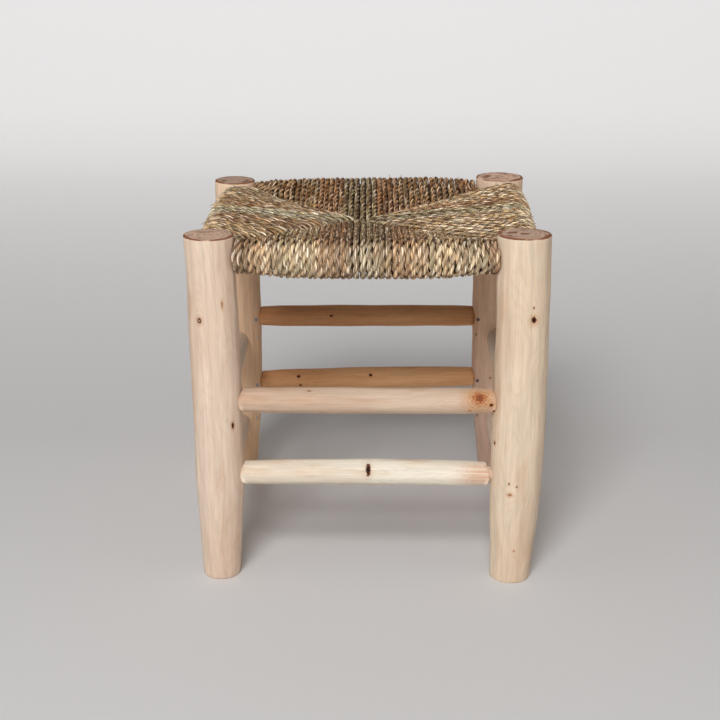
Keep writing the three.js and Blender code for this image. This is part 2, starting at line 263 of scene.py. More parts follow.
# How much higher the cords heap up over a rail than they would if wound tight: (share of the rail, height).
HEAPS = {
    "front": ((0, 0), (1, 0)),
    "back": ((0.05, 0.003), (0.13, 0.0042), (0.22, 0.0034), (0.32, 0.0018), (0.45, 0.0008), (0.7, 0.0006),
             (0.79, 0.0014), (0.86, 0.003), (0.95, 0.001)),
    "left": ((0, 0), (0.3, 0.0012), (0.6, 0)),
    "right": ((0.45, 0), (0.7, 0.0022), (0.9, 0.0032), (1, 0.002)),
}

# The cords nearest a post spread towards it: how far along the rail they do, how much of the room beside the
# post they take, and the most one shifts.
SPREAD_LENGTH = 0.062
# Rough wood of the hidden rails, painted dark brown as shade where it shows between the cords.
SPREAD_SHARE = 0.65
SPREAD_MOST = 0.009

# The ends of a cord's route, as (distance in, height) from the place where it meets the mitre, for cords that
# lie on top there and for cords that pass below. Those on top also lap over the mitre near its tip.
OVER_HEAD = ((0.0052, -0.0125), (0.0052, -0.0075), (0.0042, -0.0032), (0.0018, -0.0006))
BELOW_HEAD = ((0.014, -0.006), (0.008, -0.0035), (0.003, -0.001))
HEAD_START = 0.0015
MITRE_LAP = 0.0055

# How far the cords that pass below sink on top, as a share of a cord, and underneath, as a share of that.
SINK_SHARE = 0.7
UNDER_SINK_SHARE = 0.8

# How much the seat's underside rises towards a post, and the radius of a padded rail as a share of its own.
UNDER_RISE = 0.001
PADDED_SHARE = 1.032

# Fineness of a cord's route: points round the rail, the step between points, how many are averaged, and the
# least distance from which a cord runs up to its winding, as a share of the winding's radius. Points of the
# swept cords that lie closer than the gap are made one.
WRAP_POINTS = 26
ROUTE_STEP = 0.0005
BLUR_POINTS = 9
RUN_UP_SHARE = 1.001
MERGE_GAP = 1e-7

# How far outside the rail's line a cord counts as wholly round it, and how unevenly cords lie: sideways on
# the flat, more so round the rail, up and down, and in place and twist from one cord to the next.
RAIL_TURN = 0.015
SWAY = 0.0004
RAIL_SWAY = 0.0005
LIFT = 0.0003
SCATTER = 0.00025
PHASE_SCATTER = 0.18

# Turns of the leaves inside a ply, backwards, for each turn of the plies of a panel's cords.
TURN_BACK = {"front": 1.7, "back": 0.9, "left": 0.5, "right": 1.6}

# Length of one twist in each panel's cords, as a share of the cord's own.
TWIST_SHARES = {"front": 1.06, "back": 1.1, "left": 1.06, "right": 1.06}

# Radius of a ply and how far both reach from the cord's middle, as shares of the cord's thickness, and depth
# of the folds in a ply, as a share of its radius.
PLY_SHARE = 0.31
REACH_SHARE = 0.53
FOLD_SHARE = 0.06

# How a cord varies along its length, as shares: the pace of its twist, and its girth on the flat, how much
# more it has round the rail, how that changes along it and from one cord to the next.
PACE_CHANGE = 0.07
FLAT_GIRTH = 0.97
SLACK_GIRTH = 0.15
GIRTH_CHANGE = 0.05
GIRTH_RANGE = (0.97, 1.03)

# Painted shade in the furrow between the plies and painted highlight on their crowns: tones by share of the
# way out from the cord's middle, how much of the furrow is gone round the rail, and the powers that let the
# painted shade take more from green and blue than from red.
FURROW_DEPTHS = (0.41, 0.56, 0.74, 0.95)
FURROW_TONES = (0.05, 0.27, 0.9, 1.42)
OPEN_SHARE = 0.72
FURROW_SHADE_POWERS = (1, 1.2, 1.45)

# Length of the pattern of leaves, on which each ply starts anywhere, and the depth that an open ply keeps.
PATTERN_LENGTH = 50
KEPT_DEPTH = 0.85

# A broken leaf: its random seed, the points at a cord's ends where none stands, those that give the cord's
# direction, its own points, the range of its length, how far its tip leans aside, how high its root stands
# over the cord's middle, how far it rises from there and how much more its tip may curl up.
LOOSE_SEED = 7
LOOSE_CLEAR = (6, 12)
LOOSE_AIM = 4
LOOSE_POINTS = 7
LOOSE_LENGTHS = (0.007, 0.015)
LOOSE_LEAN = 0.004
LOOSE_ROOT = 0.001
LOOSE_RISE = 0.0034
LOOSE_CURL = 0.004

# The stuffing: the places tried along the rail, the step along a roll, and the space between rolls and their
# thickness as shares of a radius.
ROLL_TRIES = 200
ROLL_STEP = 0.006
ROLL_SPACE_SHARE = 1.7
ROLL_GIRTH_SHARE = 1.9

# Points in which a loose leaf or a roll turns once.
PLAIN_TURN_POINTS = 9

# Cord colours by name, and the zones of each panel: (share of the rail where it ends, names of its cords).
RUSH = {
    "pale": (0.93, 0.78, 0.5),
    "straw": (0.84, 0.62, 0.34),
    "green": (0.62, 0.56, 0.33),
    "olive": (0.48, 0.4, 0.22),
    "tan": (0.74, 0.52, 0.27),
    "orange": (0.72, 0.45, 0.22),
    "brown": (0.56, 0.32, 0.15),
    "dark": (0.42, 0.28, 0.15),
}
CORD_ZONES = {
    "front": [
        (0.07, "dark dark brown"), (0.14, "orange tan straw"), (0.31, "straw pale straw green"),
        (0.42, "brown orange dark"), (0.6, "olive dark green dark"), (0.66, "brown orange dark"),
        (0.75, "tan straw brown"), (0.95, "straw pale straw green"), (1, "brown dark"),
    ],
    "back": [
        (0.1, "brown tan"), (0.35, "tan olive straw brown"), (0.45, "brown orange"),
        (0.6, "green green olive"), (0.7, "orange tan brown"), (1, "olive tan straw"),
    ],
    "left": [
        (0.25, "straw tan olive"), (0.4, "tan brown straw"), (0.49, "brown orange tan"),
        (0.63, "green pale green"), (0.78, "orange tan brown"), (1, "straw tan straw"),
    ],
    "right": [
        (0.25, "straw pale straw"), (0.45, "tan pale straw"), (0.54, "green pale green"),
        (0.68, "brown straw orange"), (0.85, "tan straw pale"), (1, "tan orange straw"),
    ],
}

# What the cords' colours are multiplied by, on top of each panel and round the rails, and how much paler they
# are round the rails.
TOP_TINTS = {
    "front": (1.08, 0.92, 0.77), "back": (1.05, 0.85, 0.7), "left": (1.03, 0.95, 0.89),
    "right": (1.15, 1.03, 0.96),
}
RAIL_TINT = (1.5, 1.47, 1.58)
RAIL_PALE_SHARE = 0.22

# Tones of cords, of their plies and of loose leaves, how much of a ply's colour is its zone's mean, and how
# far the rest drifts between two of the zone's colours.
CORD_TONES = (0.97, 1.27)
PLY_TONES = (0.9, 1.1)
LOOSE_TONES = (0.7, 1.1)
MEAN_SHARE = 0.45
COLOUR_DRIFT = 0.9

# The pattern of leaves, as its scale round a ply, twice, and along it: of the leaves, of their bends and of
# their fine lines. Then the powers that turn a cord's colour into its deepest and its most bleached leaves.
LEAF_SCALES = (1.5, 1.5, 44)
BEND_SCALES = (1, 1, 50)
LINE_SCALES = (4, 4, 75)
DEEP_POWERS = (1.7, 1.7, 1.7)
BLEACHED_POWERS = (0.5, 0.48, 0.43)

# Colours of leaves that differ from their cord's, of the slits between leaves, dark as painted shade, and of
# the stuffing, near black as painted shade.
RED_LEAF = (0.4, 0.18, 0.07)
GREY_LEAF = (0.58, 0.58, 0.34)
SLIT = (0.075, 0.024, 0.008)
# The stuffing's colour is near black, painted shade in the pocket between the layers.
STUFFING_SHADE = (0.09, 0.06, 0.035)

# Shape of the hewn wood, as shares of a radius: how oval posts and rungs are and how much a rung's thickness
# varies. Then the slope to which a post may be sawn off, and the first step of its rim as a share of it.
POST_OVAL = 0.012
RUNG_OVAL = 0.02
RUNG_SWELL = 0.022
SAW_TILT = 0.012
RIM_EASE = 0.3

# Cuts of the drawknife: how unevenly they are spaced, how far they wander round the wood, their mean depth
# and how much it varies, half the angle over which a cut can bite, how soft its edges are, and how much
# deeper a rung is cut than a post.
CUT_JITTER = 0.3
CUT_WANDER = 0.1
CUT_MEAN = 0.62
CUT_CHANGE = 0.6
CUT_HALF_ANGLE = 1.2
CUT_SOFTNESS = 0.004
RUNG_CUT_SHARE = 1.2

# The first rings of a rung: how far past its shoulder each stands, and its width as a share of the rung's.
END_EASES = (-0.009, -0.0006, 0, 0.0001, 0.0007, 0.002)
END_WIDTHS = (0.62, 0.66, 0.7, 0.93, 0.985, 1)

# Heights over which a post's foot tint, painted shading near the floor, gives way to its own tint, and that
# to its crown tint, painted light above the seat.
FOOT_BLEND = (0.1, 0.2)
CROWN_BLEND = (0.36, 0.385)

# Colours in the wood beside the two that can be set: growth lines, stains, the flush at the end of a rung and
# the halo round a knot, and on sawn ends the rings, the crescents and the rim.
GROWTH_LINE = (0.66, 0.45, 0.29)
STAIN = (0.62, 0.38, 0.23)
BLUSH = (0.68, 0.36, 0.22)
HALO = (0.58, 0.28, 0.11)
END_RING = (0.48, 0.26, 0.17)
CRESCENT = (0.24, 0.095, 0.05)
BARK_RIM = (0.26, 0.09, 0.04)

# Two dark browns of the hidden rails, painted shade where they show between the cords, and the nails' steel
# and rust.
SHADED_RAIL_BROWNS = ((0.2, 0.13, 0.08), (0.11, 0.07, 0.045))
STEEL = (0.33, 0.36, 0.42)
RUST = (0.13, 0.06, 0.035)

# Noises drawn out along the wood: share of the grain's length, scale, detail, roughness and distortion.
WOOD_NOISES = {
    "streaks": (0.06, 190, 4, 0.6, 0.3),
    "fibres": (0.03, 620, 3, 0.7),
    "figure": (0.16, 46, 1, 0.4, 0.3),
    "patches": (0.3, 22, 2, 0.5),
    "stains": (0.2, 60, 3, 0.6, 0.4),
}

# Where the parts of a knot fade out, in shares of its size, and how far the growth lines bend round it.
KNOT_HOLLOW = (0.3, 0.9)
KNOT_CORE = (0.35, 0.65)
KNOT_RING = (0.8, 1.15)
KNOT_BEND = (0, 5, 0.16, 0)

# Knots by kind: colour of the ring, colour of the core and strength of the halo.
KNOTS = {
    "ring": ((0.05, 0.014, 0.008), (0.45, 0.28, 0.21), 0.6),
    "dark": ((0.13, 0.03, 0.012), (0.008, 0.003, 0.002), 0.6),
    "slit": ((0.12, 0.03, 0.012), (0.008, 0.003, 0.002), 0.2),
    "swirl": ((0.55, 0.23, 0.09), (0.26, 0.07, 0.025), 0.75),
    "faint": ((0.5, 0.29, 0.16), (0.34, 0.15, 0.07), 0.6),
}

# Depth of the finest relief in each finish.
RELIEF = {"wood": 0.0007, "sawn": 0.0009, "rush": 0.0012, "rail": 0.0006, "steel": 0.0002}

# Lengths of the random waves that vary the wood and the cord.
WAVES = {
    "cut bearing": (0.41, 0.17),
    "cut depth": (0.33, 0.12, 0.07),
    "post oval": (0.31, 0.13),
    "rung swell": (0.19, 0.083),
    "cord sway": (0.11, 0.05, 0.023),
    "cord lift": (0.09, 0.04),
    "cord colour": (0.19, 0.08),
    "cord pace": (0.12, 0.05),
    "cord girth": (0.031, 0.013),
    "leaf swell": (0.043, 0.019, 0.011),
}

# The floor and the backdrop that it bends up into, how far back a painted glow that only the camera sees
# makes it paler and how much, the lights, and the camera with its angles in degrees.
FLOOR_HALF_WIDTH = 6
FLOOR_FRONT = -3
FLOOR_BACK = 2.2
BEND_RADIUS = 1
BACKDROP_HEIGHT = 3.5
BACKDROP_GLOW = (0.3, 2.7, 0, 0.42)
LIGHT_TARGET = (0, 0, 0.2)
KEY_PLACE = (-0.7, -3.5, 3.1)
KEY_SIZE = 2.0
FILL_PLACE = (1.9, -1.1, 0.9)
FILL_SIZE = 1.2
FILL_COLOURS = {"left": (1, 1, 1), "right": (1, 0.86, 0.7)}
WORLD_COLOUR = (1, 0.95, 0.9, 1)
CAMERA_PLACE = (0.0034, -1.5669, 0.7307)
CAMERA_PITCH = 18.47
CAMERA_YAW = 0.42
LENS = 68.25
SENSOR_WIDTH = 36


class KursiWood(bpy.types.PropertyGroup):
    """Sizes and colours of the hewn wood."""

    cut_share: bpy.props.FloatProperty(
        name="Cut depth", description="Depth of a drawknife cut as a share of the radius", default=0.027
    )
    post_cuts: bpy.props.IntProperty(name="Post cuts", description="Flat cuts round a post", default=11)
    rung_cuts: bpy.props.IntProperty(name="Rung cuts", description="Flat cuts round a rung", default=9)
    sawn_rim: bpy.props.FloatProperty(
        name="Sawn rim", description="Rounding of a sawn edge", default=0.0013, unit="LENGTH"
    )
    pale: bpy.props.FloatVectorProperty(
        name="Pale wood", description="Colour of clear wood", default=(0.83, 0.685, 0.55), subtype="COLOR"
    )
    pink: bpy.props.FloatVectorProperty(
        name="Pink wood", description="Colour of the warm zones", default=(0.76, 0.575, 0.44), subtype="COLOR"
    )
    end_grain: bpy.props.FloatVectorProperty(
        name="End grain", description="Colour of sawn ends", default=(0.72, 0.5, 0.38), subtype="COLOR"
    )


class KursiRush(bpy.types.PropertyGroup):
    """Sizes of the rush cord."""

    cord: bpy.props.FloatProperty(
        name="Cord", description="Thickness of the two-ply cord", default=0.0064, unit="LENGTH"
    )
    twist: bpy.props.FloatProperty(
        name="Twist", description="Length of cord in which the plies go round once", default=0.0258,
        unit="LENGTH",
    )
    half_cords: bpy.props.IntProperty(
        name="Cords", description="Cords beside the centre band on each half of a panel", default=20
    )
    band_cords: bpy.props.IntProperty(name="Band cords", description="Cords in the centre band", default=4)
    drift: bpy.props.FloatProperty(
        name="Drift", description="Half turns by which each cord's twist is ahead of its neighbour's",
        default=0.13,
    )
    section_points: bpy.props.IntProperty(
        name="Section points", description="Points round a cord", default=24
    )
    leaf_swell: bpy.props.FloatProperty(
        name="Leaf swell", description="How much single leaves stand proud, as a share of the cord",
        default=0.07,
    )
    open_plies: bpy.props.FloatProperty(
        name="Open plies", description="How far the plies lie open round a rail, from 0 to 1", default=0.36
    )
    roll_start: bpy.props.FloatProperty(
        name="Stuffing start", description="Distance from the rail to the first roll of stuffing",
        default=0.024, unit="LENGTH",
    )
    loose_end: bpy.props.FloatProperty(
        name="Loose ends", description="Thickness of the broken leaves that stand out", default=0.0007,
        unit="LENGTH",
    )
    step: bpy.props.FloatProperty(
        name="Step", description="Distance between rings along a cord", default=0.002, unit="LENGTH"
    )


class KursiStage(bpy.types.PropertyGroup):
    """Floor and lights."""

    floor: bpy.props.FloatVectorProperty(
        name="Floor", description="Colour of floor and backdrop", default=(0.72, 0.715, 0.72), subtype="COLOR"
    )
    key_power: bpy.props.FloatProperty(
        name="Key light", description="Power of the large front light", default=152, unit="POWER"
    )
    fill_power: bpy.props.FloatProperty(
        name="Fill lights", description="Power of each side light", default=2.3, unit="POWER"
    )
    world: bpy.props.FloatProperty(name="World", description="Strength of the light all round", default=0.2)
    horizon: bpy.props.FloatProperty(
        name="Horizon", description="How bright the camera sees the world beyond the floor", default=0.85
    )


def add_object(name, mesh):
    """Links a mesh to the scene as an object at the origin, with smooth faces."""
    piece = bpy.data.objects.new(name, mesh)
    bpy.context.scene.collection.objects.link(piece)
    mesh.polygons.foreach_set("use_smooth", np.ones(len(mesh.polygons), bool))
    return piece


def coordinates(mesh):
    found = np.empty(len(mesh.vertices) * 3)
    mesh.vertices.foreach_get("co", found)
    return found.reshape(-1, 3)


def add_attribute(mesh, name, kind, values):
    """Stores one value for each vertex under a name that the materials read."""
    slot = {"FLOAT": "value", "FLOAT_VECTOR": "vector", "FLOAT_COLOR": "color"}[kind]
    made = mesh.attributes.new(name, kind, "POINT")
    made.data.foreach_set(slot, np.asarray(values, np.float32).ravel())


def waves(rng, name):
    """A smooth random wave along a length, within about 1 of zero, made of sines of the lengths in WAVES."""
    lengths = WAVES[name]
    phases = rng.uniform(0, TURN, len(lengths))
    weights = rng.uniform(0.6, 1, len(lengths))

    def height(place):
        place = np.asarray(place, float)
        total = sum(w * np.sin(TURN * place / length + p) for w, p, length in zip(weights, phases, lengths))
        return total / weights.sum()

    return height


def hewn_radius(rng, radius, angle, along, cuts, cut_share):
    """Radius of a round length of wood after flat cuts that wander along it."""
    result = np.array(radius, float)
    soft = CUT_SOFTNESS * radius
    for cut in range(cuts):
        bearing = TURN * (cut + rng.uniform(-CUT_JITTER, CUT_JITTER)) / cuts
        bearing = bearing + CUT_WANDER * waves(rng, "cut bearing")(along)
        bite = cut_share * (CUT_MEAN + CUT_CHANGE * waves(rng, "cut depth")(along))
        off = np.clip((angle - bearing + math.pi) % TURN - math.pi, -CUT_HALF_ANGLE, CUT_HALF_ANGLE)
        flat = radius * (1 - bite) / np.cos(off)
        share = np.clip(0.5 + 0.5 * (result - flat) / soft, 0, 1)
        result = result * (1 - share) + flat * share - soft * share * (1 - share)
    return result


def unit_tube(sides, rings, cap_insets, rim_rings=0):
    """A closed tube of radius 1 that stands on the origin and is 1 high, with rings of faces along it. Its
    caps and the rim_rings topmost rings of faces have the second material."""
    bm = bmesh.new()
    bmesh.ops.create_cone(
        bm, cap_ends=True, segments=sides, radius1=1, radius2=1, depth=1, matrix=Matrix.Translation(UP / 2)
    )
    upright = [edge for edge in bm.edges if abs(edge.verts[0].co.z - edge.verts[1].co.z) > 0.5]
    bmesh.ops.subdivide_edges(bm, edges=upright, cuts=rings - 1, use_grid_fill=True)
    inset_reach = 0.9
    for _ in range(cap_insets):
        caps = [face for face in bm.faces if len(face.verts) == sides]
        bmesh.ops.inset_individual(bm, faces=caps, thickness=inset_reach / cap_insets, use_even_offset=False)
    rim_start = 1 - rim_rings / rings
    for face in bm.faces:
        face.material_index = int(abs(face.normal.z) > 0.5 or face.calc_center_median().z > rim_start)
    return bm


def shaped_tube(name, tube, place):
    """Lays out a unit tube. place gets arrays of the angle round it, the share along it and the share of
    the radius, and gives back places in the stool and places in straight grain."""
    mesh = bpy.data.meshes.new(name)
    tube.to_mesh(mesh)
    tube.free()
    at = coordinates(mesh)
    reach = np.hypot(at[:, 0], at[:, 1])
    spots, grain = place(np.arctan2(at[:, 1], at[:, 0]), at[:, 2], reach)
    mesh.vertices.foreach_set("co", spots.ravel())
    add_attribute(mesh, "grain", "FLOAT_VECTOR", grain)
    add_attribute(mesh, "reach", "FLOAT", reach)
    mesh.update()
    return add_object(name, mesh)


class Shader:
    """Adds nodes to a new material, linking sockets and setting plain values."""

    def __init__(self, name):
        self.material = bpy.data.materials.new(name)
        self.material.use_nodes = True
        self.tree = self.material.node_tree
        self.surface = self.tree.nodes["Principled BSDF"]

    def put(self, socket, value):
        if isinstance(value, bpy.types.NodeSocket):
            self.tree.links.new(value, socket)
        else:
            socket.default_value = value

    def node(self, kind, inputs, **settings):
        made = self.tree.nodes.new(kind)
        for key, value in settings.items():
            setattr(made, key, value)
        for key, value in inputs.items():
            self.put(made.inputs[key], value)
        return made

    def math(self, operation, *values):
        return self.node("ShaderNodeMath", dict(enumerate(values)), operation=operation).outputs[0]

    def plus(self, first, second):
        return self.math("ADD", first, second)

    def times(self, first, second):
        return self.math("MULTIPLY", first, second)

    def vector(self, operation, *values):
        made = self.node("ShaderNodeVectorMath", dict(enumerate(values)), operation=operation)
        return made.outputs["Value" if operation == "LENGTH" else "Vector"]

    def stretched(self, place, *factors):
        """A place with its own factor along each axis."""
        return self.vector("MULTIPLY", place, factors)

    def scaled(self, colour, factor):
        """A colour times a number that varies over the surface."""
        return self.node("ShaderNodeVectorMath", {0: colour, 3: factor}, operation="SCALE").outputs[0]

    def attribute(self, name, output="Vector"):
        return self.node("ShaderNodeAttribute", {}, attribute_name=name).outputs[output]

    def object_place(self):
        return self.node("ShaderNodeTexCoord", {}).outputs["Object"]

    def noise(self, place, scale, detail, roughness, distortion=0.0):
        inputs = {"Vector": place, "Scale": scale, "Detail": detail, "Roughness": roughness}
        inputs["Distortion"] = distortion
        return self.node("ShaderNodeTexNoise", inputs).outputs[0]

    def leaves(self, place, feature, output):
        inputs = {"Vector": place, "Scale": 1.0}
        return self.node("ShaderNodeTexVoronoi", inputs, feature=feature).outputs[output]

    def remap(self, value, low, high, to_low, to_high):
        inputs = {0: value, 1: low, 2: high, 3: to_low, 4: to_high}
        return self.node("ShaderNodeMapRange", inputs, clamp=True).outputs[0]

    def vary(self, noise, low, high):
        """A noise's usual range spread over another one."""
        return self.remap(noise, 0.3, 0.7, low, high)

    def mix(self, share, first, second):
        first, second = (c if isinstance(c, bpy.types.NodeSocket) else (*c, 1) for c in (first, second))
        return self.node("ShaderNodeMix", {0: share, 6: first, 7: second}, data_type="RGBA").outputs[2]

    def bump(self, height, finish, strength):
        inputs = {"Height": height, "Distance": RELIEF[finish], "Strength": strength}
        self.put(self.surface.inputs["Normal"], self.node("ShaderNodeBump", inputs).outputs[0])

    def finish(self, colour, roughness, specular):
        self.put(self.surface.inputs["Base Color"], colour)
        self.put(self.surface.inputs["Roughness"], roughness)
        self.surface.inputs["Specular IOR Level"].default_value = specular
        return self.material


def wood_material(name, knots, tint, foot_shading_tint=None, crown_light_tint=None):
    """Hewn, peeled wood with long fibres and knots at given places in straight grain. The growth lines run
    along the wood and bend round each knot."""
    wood = bpy.context.scene.kursi_wood
    s = Shader(name)
    grain = s.attribute("grain")

    def long_noise(name):
        share, *settings = WOOD_NOISES[name]
        return s.noise(s.stretched(grain, 1, 1, share), *settings)

    streaks, fibres, figure = long_noise("streaks"), long_noise("fibres"), long_noise("figure")
    ragged = s.vary(s.noise(grain, 480, 2, 0.5), -0.2, 0.2)
    nears = []
    for place, width, length, kind in knots:
        away = s.vector("SUBTRACT", grain, place)
        near = s.vector("LENGTH", s.stretched(away, 1 / width, 1 / width, 1 / length))
        nears.append((s.plus(near, ragged), kind))
        wide = s.vector("LENGTH", s.stretched(away, 1 / width, 1 / width, 0.35 / length))
        figure = s.plus(figure, s.remap(wide, *KNOT_BEND))
    colour = s.mix(s.remap(long_noise("patches"), 0.42, 0.7, 0, 0.9), wood.pale, wood.pink)
    lines = s.math("SINE", s.times(s.plus(figure, s.times(streaks, 0.05)), 80))
    colour = s.mix(s.remap(lines, 0.1, 1, 0, 0.17), colour, GROWTH_LINE)
    colour = s.mix(s.remap(long_noise("stains"), 0.56, 0.76, 0, 0.55), colour, STAIN)
    height = s.node("ShaderNodeSeparateXYZ", {0: grain}).outputs[2]
    # Tints by height, which on the back posts are painted light and shade: the foot tint near the floor, the
    # own tint under the seat, the crown tint above it.
    above_foot = s.mix(s.remap(height, *FOOT_BLEND, 0, 1), foot_shading_tint or tint, tint)
    tinted = s.mix(s.remap(height, *CROWN_BLEND, 0, 1), above_foot, crown_light_tint or tint)
    tone = s.plus(s.vary(streaks, 0.88, 1.07), s.vary(fibres, -0.07, 0.06))
    colour = s.scaled(s.vector("MULTIPLY", colour, tinted), tone)
    relief = s.plus(s.times(streaks, 0.7), s.times(fibres, 0.3))
    for near, kind in nears:
        if kind == "blush":
            share = s.times(s.remap(near, 0.3, 1.1, 0.9, 0), s.remap(streaks, 0.35, 0.62, 1, 0.35))
            colour = s.mix(share, colour, BLUSH)
            continue
        ring, core, halo_strength = KNOTS[kind]
        swirl = kind == "swirl"
        ripples = s.times(s.math("SINE", s.times(near, 17 if swirl else 9)), 0.6)
        halo = s.remap(near, 0.9, 3 if swirl else 2.6, halo_strength, 0)
        colour = s.mix(s.times(halo, s.plus(ripples, 1)), colour, HALO)
        colour = s.mix(s.remap(near, *KNOT_RING, 1, 0), colour, ring)
        if swirl:
            colour = s.mix(s.remap(ripples, 0, 0.6, 0, s.remap(near, 0.9, 1.3, 0.8, 0)), colour, core)
        colour = s.mix(s.remap(near, *KNOT_CORE, 1, 0), colour, core)
        relief = s.math("SUBTRACT", relief, s.remap(near, *KNOT_HOLLOW, 0.7, 0))
    s.bump(relief, "wood", 0.45)
    return s.finish(colour, s.vary(streaks, 0.72, 0.6), 0.2)


def end_grain_material(name, seed, tone):
    """A sawn end: growth rings round the pith, curved saw marks, dark crescents and an uneven red-brown rim
    left by the bark."""
    wood = bpy.context.scene.kursi_wood
    s = Shader(name)
    reach = s.attribute("reach", "Fac")
    flat = s.vector("ADD", s.stretched(s.attribute("grain"), 1, 1, 0), (0.3 * seed, 0, 0))
    marks = s.node(
        "ShaderNodeTexWave", {"Vector": flat, "Scale": 90, "Distortion": 9, "Detail": 3, "Detail Scale": 2.5},
        wave_type="BANDS", bands_direction="Y",
    ).outputs[1]
    patch = s.noise(s.stretched(flat, 0.6, 1.2, 1), 48, 2, 0.5)
    cells = s.noise(flat, 900, 2, 0.6)
    wander = s.noise(flat, 55, 2, 0.5)
    rings = s.math("SINE", s.plus(s.times(reach, 30), s.times(wander, 16)))
    arcs = s.math("SINE", s.plus(s.times(reach, 11), s.times(wander, 14)))
    colour = s.mix(s.remap(rings, 0.2, 1, 0, 0.6), wood.end_grain, END_RING)
    crescent = s.times(s.remap(arcs, 0, 0.6, 0, 0.95), s.remap(patch, 0.45, 0.59, 0, 0.95))
    colour = s.mix(crescent, colour, CRESCENT)
    rough = s.plus(s.vary(cells, 0.84, 1.14), s.remap(marks, 0, 1, -0.18, 0.2))
    colour = s.scaled(colour, s.times(rough, tone))
    edge = s.plus(reach, s.remap(s.noise(flat, 42, 2, 0.5), 0.35, 0.65, -0.12, 0.08))
    colour = s.mix(s.remap(edge, 0.88, 0.96, 0, 0.95), colour, BARK_RIM)
    s.bump(s.plus(marks, s.times(patch, 0.6)), "sawn", 0.5)
    return s.finish(colour, 0.82, 0.2)


def knot_places(radius_at, knots):
    """Knots as places in straight grain, with their sizes."""
    places = []
    for along, degrees, width, length, kind in knots:
        angle = math.radians(degrees)
        radius = float(radius_at(along))
        places.append(((radius * math.cos(angle), radius * math.sin(angle), along), width, length, kind))
    return places


def build_post(name, post):
    wood = bpy.context.scene.kursi_wood
    rings, sides = 100, 96
    rim = wood.sawn_rim
    eased = RIM_EASE * rim
    inner = np.linspace(rim, post.height - rim, rings - 3)
    heights = np.concatenate([[0, eased], inner, [post.height - eased, post.height]])
    drawn_in = np.zeros(rings + 1)
    drawn_in[[0, -1]] = rim
    drawn_in[[1, -2]] = eased
    rng = np.random.default_rng(post.seed)
    sway = waves(rng, "post oval")
    tilt = rng.uniform(-SAW_TILT, SAW_TILT, 2)

    def place(angle, along, reach):
        ring = np.rint(along * rings).astype(int)
        z = heights[ring]
        round_radius = post.radius(z) * (1 + POST_OVAL * np.cos(2 * angle + 3 * sway(z)))
        radius = hewn_radius(rng, round_radius, angle, z, wood.post_cuts, wood.cut_share) - drawn_in[ring]
        out = np.stack([radius * reach * np.cos(angle), radius * reach * np.sin(angle)], axis=1)
        slant = out @ tilt - abs(tilt).sum() * post.radii[2]
        lift = np.where(along > 0.5, slant * np.clip(along * 20 - 19, 0, 1), 0)
        spots = np.column_stack([post.centre(z) + out, z + lift])
        return spots, np.column_stack([out, z])

    piece = shaped_tube(f"hewn_post_{name}", unit_tube(sides, rings, 5, 2), place)
    spots = knot_places(post.radius, post.knots)
    tints = (post.tint, post.foot_shading_tint, post.crown_light_tint)
    piece.data.materials.append(wood_material(f"post_wood_{name}", spots, *tints))
    piece.data.materials.append(end_grain_material(f"post_end_grain_{name}", post.seed, post.end_tone))
    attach(piece, "root")
    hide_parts(f"post_{name}")


def shoulder(bar, end, offset):
    """Distance along a bar from a post's axis to its surface, at offsets aside of the bar's own line."""
    post, z = POSTS[bar.ends[end]], bar.z[end]
    centre = Vector((*post.centre(z), z))
    line = bar.start if end == 0 else bar.finish
    from_axis = (line - centre).dot(bar.aside)
    radius = post.radius(z)
    return np.sqrt(np.maximum(radius**2 - (offset + from_axis) ** 2, 0))


def build_rung(name, bar):
    wood = bpy.context.scene.kursi_wood
    sides, rings = 56, 90
    rng = np.random.default_rng(bar.seed)
    sway = waves(rng, "rung swell")
    caps = len(END_EASES)

    def place(angle, along, reach):
        ring = np.rint(along * rings).astype(int)
        aside = bar.radius_at(np.clip(along, 0.1, 0.9)) * np.cos(angle)
        low = shoulder(bar, 0, aside) + FIT_GAP + bar.stubs[0]
        high = bar.length - shoulder(bar, 1, aside) - FIT_GAP - bar.stubs[1]
        body = np.clip((ring - caps) / (rings - 2 * caps), 0, 1)
        depth = low + END_EASES[-1] + (high - low - 2 * END_EASES[-1]) * body
        squeeze = np.ones(len(ring))
        for index, (ease, width) in enumerate(zip(END_EASES, END_WIDTHS)):
            first, last = ring == index, ring == rings - index
            depth = np.where(first, low + ease, depth)
            depth = np.where(last, high - ease, depth)
            squeeze = np.where(first | last, width, squeeze)
        share = depth / bar.length
        uneven = 1 + RUNG_OVAL * np.cos(2 * angle + 7 * share) + RUNG_SWELL * sway(depth)
        cuts = (wood.rung_cuts, RUNG_CUT_SHARE * wood.cut_share)
        radius = hewn_radius(rng, bar.radius_at(share) * uneven, angle, depth, *cuts) * squeeze
        across, up = radius * reach * np.cos(angle), radius * reach * np.sin(angle)
        spots = bar.centre(share) + across[:, None] * np.array(bar.aside) + up[:, None] * np.array(UP)
        return spots, np.column_stack([across, up, depth - bar.length / 2])

    piece = shaped_tube(f"hewn_rung_{name}", unit_tube(sides, rings, 1), place)
    spots = knot_places(lambda along: bar.radius_at(0.5 + along / bar.length), bar.knots)
    material = wood_material(f"rung_wood_{name}", spots, bar.tint)
    for _ in ("sides", "ends"):
        piece.data.materials.append(material)
    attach(piece, "root")
    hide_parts(f"rung_{name}")


